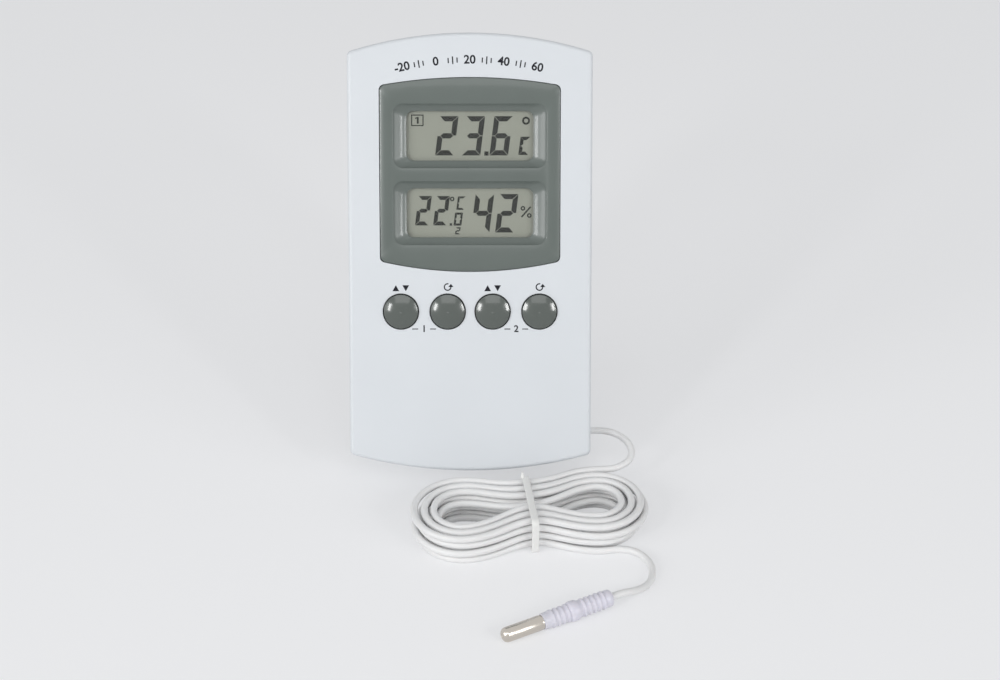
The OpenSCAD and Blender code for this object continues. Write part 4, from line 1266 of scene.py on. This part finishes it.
@dataclass
class FlatWork(Maker):
    """Thin marks that stand a hair proud of an upright surface and are sunk a hair in it."""

    surface: float = 0.0
    proud: float = 0.012
    sunk: float = 0.01

    def patch(self, shape: Shape, corners: list[Spot]) -> None:
        """Adds one flat patch.

        Args:
            shape: The bmesh that gets it.
            corners: Its corners, as x and z.
        """
        face = shape.faces.new([shape.verts.new((x, self.surface - self.proud, z)) for x, z in corners])
        deepen(shape, [face], self.proud + self.sunk)

    def arc(
        self, shape: Shape, x: float, z: float, radius: float, thick: float, degrees: float, steps: int,
    ) -> None:
        """Adds a flat arc that starts on the right of its middle, or a ring.

        Args:
            shape: The bmesh that gets it.
            x: Its middle, across.
            z: Its middle, up.
            radius: The radius of its line's middle.
            thick: The width of its line.
            degrees: How far it goes round, 360 for a ring.
            steps: Its steps.
        """
        whole = degrees == 360
        inner, outer = x + (radius - thick / 2), x + (radius + thick / 2)
        near, far = self.surface - self.proud, self.surface + self.sunk
        corners = [(inner, near, z), (outer, near, z), (outer, far, z), (inner, far, z)]
        verts = [shape.verts.new(corner) for corner in corners]
        edges = [shape.edges.new((verts[i], verts[(i + 1) % 4])) for i in range(4)]
        if not whole:
            shape.faces.new(verts)
        made = bmesh.ops.spin(
            shape, geom=verts + edges, cent=(x, 0, z), axis=(0, 1, 0), angle=math.radians(degrees),
            steps=steps, use_merge=whole, use_duplicate=False,
        )
        if not whole:
            ends = [part for part in made["geom_last"] if isinstance(part, bmesh.types.BMEdge)]
            bmesh.ops.contextual_create(shape, geom=ends)


@dataclass
class Readout(FlatWork):
    """The dark bars, rings and strokes that a display shows."""

    name: str = "readout"
    surface: float = 2.8
    proud: float = 0.05
    sunk: float = 0.02
    fill: float = 0.955
    slant: float = 0.13
    cells: tuple[Cell, ...] = ()
    rings: tuple[tuple[float, float, float, float], ...] = ()
    strokes: tuple[tuple[Spot, Spot, float], ...] = ()

    def stroke(self, shape: Shape, start: Spot, end: Spot, thick: float) -> None:
        """Adds one straight stroke.

        Args:
            shape: The bmesh that gets it.
            start: Its first end, as x and z.
            end: Its second end.
            thick: Its width.
        """
        a, b = Vector(start), Vector(end)
        across = (b - a).normalized().orthogonal() * thick / 2
        self.patch(shape, [a + across, b + across, b - across, a - across])

    def numeral(self, shape: Shape, cell: Cell) -> None:
        """Adds one numeral of seven bars, leaning to the right, with thin gaps between its bars.

        Args:
            shape: The bmesh that gets it.
            cell: The numeral and its place.
        """
        for bar in NUMERALS[cell.numeral]:
            corners = bar.corners(cell.wide - cell.thick, cell.high - cell.thick, cell.thick)
            middle = sum(corners, Vector((0, 0))) / len(corners)
            spots = [middle + (corner - middle) * self.fill for corner in corners]
            level = cell.z + cell.high / 2
            self.patch(shape, [(cell.x + spot.x + spot.y * self.slant, level + spot.y) for spot in spots])

    def build(self) -> None:
        """Makes everything that the display shows as one piece."""
        shape = bmesh.new()
        for cell in self.cells:
            self.numeral(shape, cell)
        for x, z, radius, thick in self.rings:
            self.arc(shape, x, z, radius, thick, degrees=360, steps=28)
        for start, end, thick in self.strokes:
            self.stroke(shape, start, end, thick)
        self.keep(shape, self.name, Finish.SEGMENT, "plunger", smooth=20.0)


def upper_readout() -> Readout:
    """The reading of the probe: 23.6 degrees, with a boxed 1.

    Returns:
        The readout.
    """
    cells = [Cell(numeral, x, 79.7, 4.7, 9.8, 1.34) for numeral, x in (("2", -5.8), ("3", 0.85), ("6", 7.8))]
    cells += [Cell("C", 13.6, 79.8, 2.5, 4.6, 0.9)]
    point = ((3.575, 80.2), (4.625, 80.2), 1.05)
    box = (
        ((-14.7, 89.75), (-11.6, 89.75), 0.26), ((-14.7, 87.15), (-11.6, 87.15), 0.26),
        ((-14.57, 87.28), (-14.57, 89.62), 0.26), ((-11.73, 87.28), (-11.73, 89.62), 0.26),
    )
    one = (((-13.05, 87.62), (-13.05, 89.28), 0.46), ((-13.65, 88.88), (-13.29, 89.1), 0.3))
    rings = ((14.0, 88.35, 0.75, 0.5),)
    return Readout(name="upper_readout", cells=tuple(cells), rings=rings, strokes=(point, *box, *one))


def lower_readout() -> Readout:
    """The reading of the room: 22.0 degrees and 42 per cent, with a 2.

    Returns:
        The readout.
    """
    cells = [Cell(numeral, x, 62.2, 3.35, 7.4, 1.02) for numeral, x in (("2", -11.75), ("2", -7.2))]
    cells += [Cell(numeral, x, 60.4, 4.7, 9.7, 1.32) for numeral, x in (("4", 3.1), ("2", 9.2))]
    cells += [Cell("0", -3.0, 62.15, 2.0, 3.3, 0.56), Cell("C", -2.3, 66.1, 1.95, 3.4, 0.52)]
    cells += [Cell("2", -3.1, 59.95, 1.2, 1.8, 0.34)]
    point = ((-5.15, 62.45), (-4.55, 62.45), 0.6)
    slash = ((12.9, 64.3), (15.2, 66.9), 0.38)
    rings = ((-4.5, 68.85, 0.42, 0.3), (13.25, 66.5, 0.42, 0.32), (14.85, 64.7, 0.42, 0.32))
    return Readout(name="lower_readout", cells=tuple(cells), rings=rings, strokes=(point, slash))


@dataclass
class FacePrint(FlatWork):
    """The ink on the housing's face: a plain arched scale, and signs and numbers at the buttons."""

    button_xs: tuple[float, ...] = (-17.4, -5.65, 5.65, 17.4)
    arch_r: float = 78.0
    arch_top: float = 103.3
    scale_step: float = 6.2
    scale_size: float = 2.1
    scale_bold: float = 0.07
    tick_half: float = 0.15
    tick_spread: float = 0.13
    arrows_z: float = 46.6
    arrow_apart: float = 1.25
    arrow_half: Spot = (0.85, 0.75)
    turn_z: float = 46.9
    turn_r: float = 0.82
    turn_thick: float = 0.3
    turn_head: Spot = (0.65, 0.8)
    numbers_z: float = 36.3
    number_xs: Spot = (-11.6, 11.6)
    number_size: float = 1.7
    number_bold: float = 0.05
    dash: Spot = (1.5, 3.0)
    dash_half: float = 0.12

    def figure(self, shape: Shape, body: str, size: float, place: Matrix, bold: float) -> None:
        """Adds a number in plain type.

        Args:
            shape: The bmesh that gets it.
            body: The number.
            size: Its height.
            place: Where its middle goes.
            bold: How much its strokes are thickened.
        """
        curve = bpy.data.curves.new("figure", "FONT")
        curve.body = body
        curve.size = size * 1.4
        curve.offset = bold
        curve.extrude = (self.proud + self.sunk) / 2
        curve.align_x = "CENTER"
        curve.align_y = "CENTER"
        curve.resolution_u = 4
        helper = bpy.data.objects.new("figure", curve)
        mesh = helper.to_mesh()
        mesh.transform(place @ Matrix.Translation((0, (self.sunk - self.proud) / 2, 0)) @ UPRIGHT)
        shape.from_mesh(mesh)
        helper.to_mesh_clear()
        bpy.data.objects.remove(helper)
        bpy.data.curves.remove(curve)

    def on_arch(self, steps: float) -> Matrix:
        """A place on the arch, turned with it.

        Args:
            steps: How many of the scale's steps it lies right of the middle.

        Returns:
            The place.
        """
        turn = Matrix.Rotation(math.radians(self.scale_step * steps), 4, "Y")
        middle = Matrix.Translation((0, 0, self.arch_top - self.arch_r))
        return middle @ turn @ Matrix.Translation((0, 0, self.arch_r))

    def make_scale(self) -> None:
        """Makes the arched scale of plain numbers, with three ticks between two of them."""
        shape = bmesh.new()
        for index, body in enumerate(("-20", "0", "20", "40", "60")):
            self.figure(shape, body, self.scale_size, self.on_arch(index - 2), self.scale_bold)
        wide = self.tick_half
        for part in (-1.5, -0.5, 0.5, 1.5):
            for share, tall in ((-self.tick_spread, 0.62), (0.0, 0.95), (self.tick_spread, 0.62)):
                ends = ((-wide, -tall), (wide, -tall), (wide, tall), (-wide, tall))
                spots = [self.on_arch(part + share) @ Vector((across, 0, up)) for across, up in ends]
                self.patch(shape, [(spot.x, spot.z) for spot in spots])
        self.keep(shape, "face_scale", Finish.PRINT, "plunger", smooth=20.0)

    def arrows(self, shape: Shape, x: float) -> None:
        """Adds an arrow up and an arrow down, side by side.

        Args:
            shape: The bmesh that gets them.
            x: Their middle, across.
        """
        half, level = self.arrow_half[0], self.arrows_z
        for side, up in ((-1, 1), (1, -1)):
            middle, tall = x + side * self.arrow_apart, self.arrow_half[1] * up
            corners = [(middle - half, level - tall), (middle + half, level - tall), (middle, level + tall)]
            self.patch(shape, corners[::up])

    def turn_sign(self, shape: Shape, x: float) -> None:
        """Adds a round arrow, which stands for starting afresh.

        Args:
            shape: The bmesh that gets it.
            x: Its middle, across.
        """
        self.arc(shape, x, self.turn_z, self.turn_r, self.turn_thick, degrees=285, steps=20)
        half, tall = self.turn_head
        head = x + self.turn_r
        corners = [(head - half, self.turn_z), (head + half, self.turn_z), (head, self.turn_z + tall)]
        self.patch(shape, corners)

    def make_signs(self) -> None:
        """Makes the signs over the buttons, and the numbers of the two readings between their dashes."""
        shape = bmesh.new()
        for index, x in enumerate(self.button_xs):
            if index % 2 == 0:
                self.arrows(shape, x)
            else:
                self.turn_sign(shape, x)
        low, high = self.numbers_z - self.dash_half, self.numbers_z + self.dash_half
        for x, body in zip(self.number_xs, ("1", "2")):
            place = Matrix.Translation((x, 0, self.numbers_z))
            self.figure(shape, body, self.number_size, place, self.number_bold)
            for side in (-1, 1):
                start, end = [x + side * reach for reach in self.dash]
                self.patch(shape, [(start, low), (end, low), (end, high), (start, high)][::side])
        self.keep(shape, "button_signs", Finish.PRINT, "plunger", smooth=20.0)

    def build(self) -> None:
        """Makes all the ink."""
        self.make_scale()
        self.make_signs()


@dataclass
class Studio:
    """The floor, the lamps and the camera."""

    camera_place: Triple = (0.0075, -0.4070, 0.2796)
    camera_down: float = math.radians(31.8)
    focal: float = 65.4
    aim: Triple = (0.0, 0.0, 0.04)
    floor_half: float = 3.0
    floor_colour: Colour = (0.87, 0.87, 0.88, 1)
    floor_glow: Colour = (0.97, 0.98, 1.0, 1)
    glow_strength: float = 0.95
    glow_share: float = 0.5
    sky_colour: Colour = (0.98, 0.99, 1.0, 1)
    sky_light: float = 0.36
    sky_seen: float = 0.5
    lamps: tuple[tuple[str, Triple, Spot, float], ...] = (
        ("left_strip", (-0.44, -0.62, 0.42), (0.09, 0.24), 1.3),
        ("right_strip", (0.50, -0.62, 0.42), (0.07, 0.24), 1.1),
        ("left_lamp", (-0.92, -0.58, 0.38), (0.45, 0.5), 3.4),
        ("right_lamp", (0.95, -0.60, 0.45), (0.40, 0.5), 1.9),
        ("high_lamp", (0.0, -0.9, 1.15), (0.9, 0.5), 2.2),
    )

    def make_camera(self) -> None:
        """Makes the camera at the photograph's angle."""
        data = bpy.data.cameras.new("view")
        data.lens = self.focal
        data.sensor_width = 36.0
        data.clip_start = 0.01
        camera = bpy.data.objects.new("view", data)
        camera.location = self.camera_place
        camera.rotation_euler = (math.radians(90) - self.camera_down, 0, 0)
        bpy.context.scene.collection.objects.link(camera)
        bpy.context.scene.camera = camera

    def make_lamp(self, name: str, place: Triple, size: Spot, power: float) -> None:
        """Makes one soft lamp that looks at the object.

        Args:
            name: The lamp's name.
            place: Where it stands.
            size: Its width and height.
            power: Its power in watts.
        """
        data = bpy.data.lights.new(name, "AREA")
        data.shape = "RECTANGLE"
        data.size, data.size_y = size
        data.energy = power
        lamp = bpy.data.objects.new(name, data)
        lamp.location = place
        lamp.rotation_euler = (Vector(self.aim) - Vector(place)).to_track_quat("-Z", "Y").to_euler()
        bpy.context.scene.collection.objects.link(lamp)

    def make_floor(self) -> None:
        """Makes the plain floor, which looks paler to the camera and keeps the object's shadow."""
        shape = bmesh.new()
        bmesh.ops.create_grid(shape, x_segments=1, y_segments=1, size=self.floor_half)
        mesh = bpy.data.meshes.new("floor")
        shape.to_mesh(mesh)
        shape.free()
        paint = Paint("floor_finish")
        paint.set(base_color=self.floor_colour, roughness=0.7)
        inputs = {"Color": self.floor_glow, "Strength": self.glow_strength}
        glow = paint.node("ShaderNodeEmission", inputs=inputs)
        paint.cover(paint.seen() * self.glow_share, Wire(paint, paint.shader.outputs[0]), glow)
        mesh.materials.append(paint.material)
        floor = bpy.data.objects.new("floor", mesh)
        bpy.context.scene.collection.objects.link(floor)

    def make_surroundings(self) -> None:
        """Makes the even white surroundings, which look paler to the camera."""
        world = bpy.data.worlds.new("surroundings")
        world.use_nodes = True
        board = Board(world.node_tree)
        ground = board.tree.nodes["Background"]
        board.feed(ground.inputs["Color"], self.sky_colour)
        board.feed(ground.inputs["Strength"], board.seen() * self.sky_seen + self.sky_light)
        bpy.context.scene.world = world

    def build(self) -> None:
        """Makes the lamps, the floor and the surroundings."""
        for lamp in self.lamps:
            self.make_lamp(*lamp)
        self.make_floor()
        self.make_surroundings()
        bpy.context.scene.view_settings.view_transform = "Standard"


FINISHED_NODES = {
    Finish.HOUSING: ("front_housing", "rear_housing", "battery_door", "stand_leg"),
    Finish.BEZEL: ("display_bezel",),
    Finish.PANE: ("upper_window", "lower_window"),
    Finish.DISPLAY: ("upper_lcd", "lower_lcd"),
    Finish.STRIP: ("upper_zebra_strip", "lower_zebra_strip"),
    Finish.BOARD: ("circuit_board",),
    Finish.ZINC: ("board_screws", "housing_screws"),
    Finish.SWITCH: ("key_switches",),
    Finish.BUTTON: ("out_memory_button", "out_reset_button", "in_memory_button", "in_reset_button"),
    Finish.STEM: ("out_memory_plunger", "out_reset_plunger", "in_memory_plunger", "in_reset_plunger"),
    Finish.RESIN: ("chip_blob",),
    Finish.CRYSTAL: ("timing_crystal",),
    Finish.CERAMIC: ("board_parts",),
    Finish.FILM_BOX: ("humidity_sensor",),
    Finish.BEAD: ("room_thermistor", "probe_thermistor"),
    Finish.CELL: ("battery_cell",),
    Finish.CONTACT: ("battery_spring", "spring_plate", "positive_contact"),
    Finish.CORD: ("inner_lead", "cord_stop", "sensor_lead", "sensor_hank", "sensor_tail"),
    Finish.TIE: ("hank_tie",),
    Finish.SLEEVE: ("probe_sleeve",),
    Finish.CAPSULE: ("probe_tip",),
}


def dress_nodes(nodes: dict[str, bpy.types.Object]) -> None:
    """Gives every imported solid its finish.

    Args:
        nodes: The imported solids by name.
    """
    finishes = {name: finish for finish, names in FINISHED_NODES.items() for name in names}
    for name, solid in nodes.items():
        finish = finishes[name].material
        if solid.material_slots:
            for holder in solid.material_slots:
                holder.material = finish
        else:
            solid.data.materials.append(finish)
        LOG.info("dressed %s", name)


def main() -> None:
    """Builds the whole object and its studio."""
    logging.basicConfig(level=logging.INFO, format="%(name)s: %(message)s")
    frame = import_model()
    studio = Studio()
    studio.make_camera()
    makers = [CordSet(), BezelInsert(), upper_readout(), lower_readout(), FacePrint()]
    for maker in makers:
        maker.build()
    dress_nodes(frame["nodes"])
    studio.build()
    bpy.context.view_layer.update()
    for maker in makers:
        LOG.info("%s made %s", type(maker).__name__, ", ".join(maker.made))


if __name__ == "__main__":
    main()
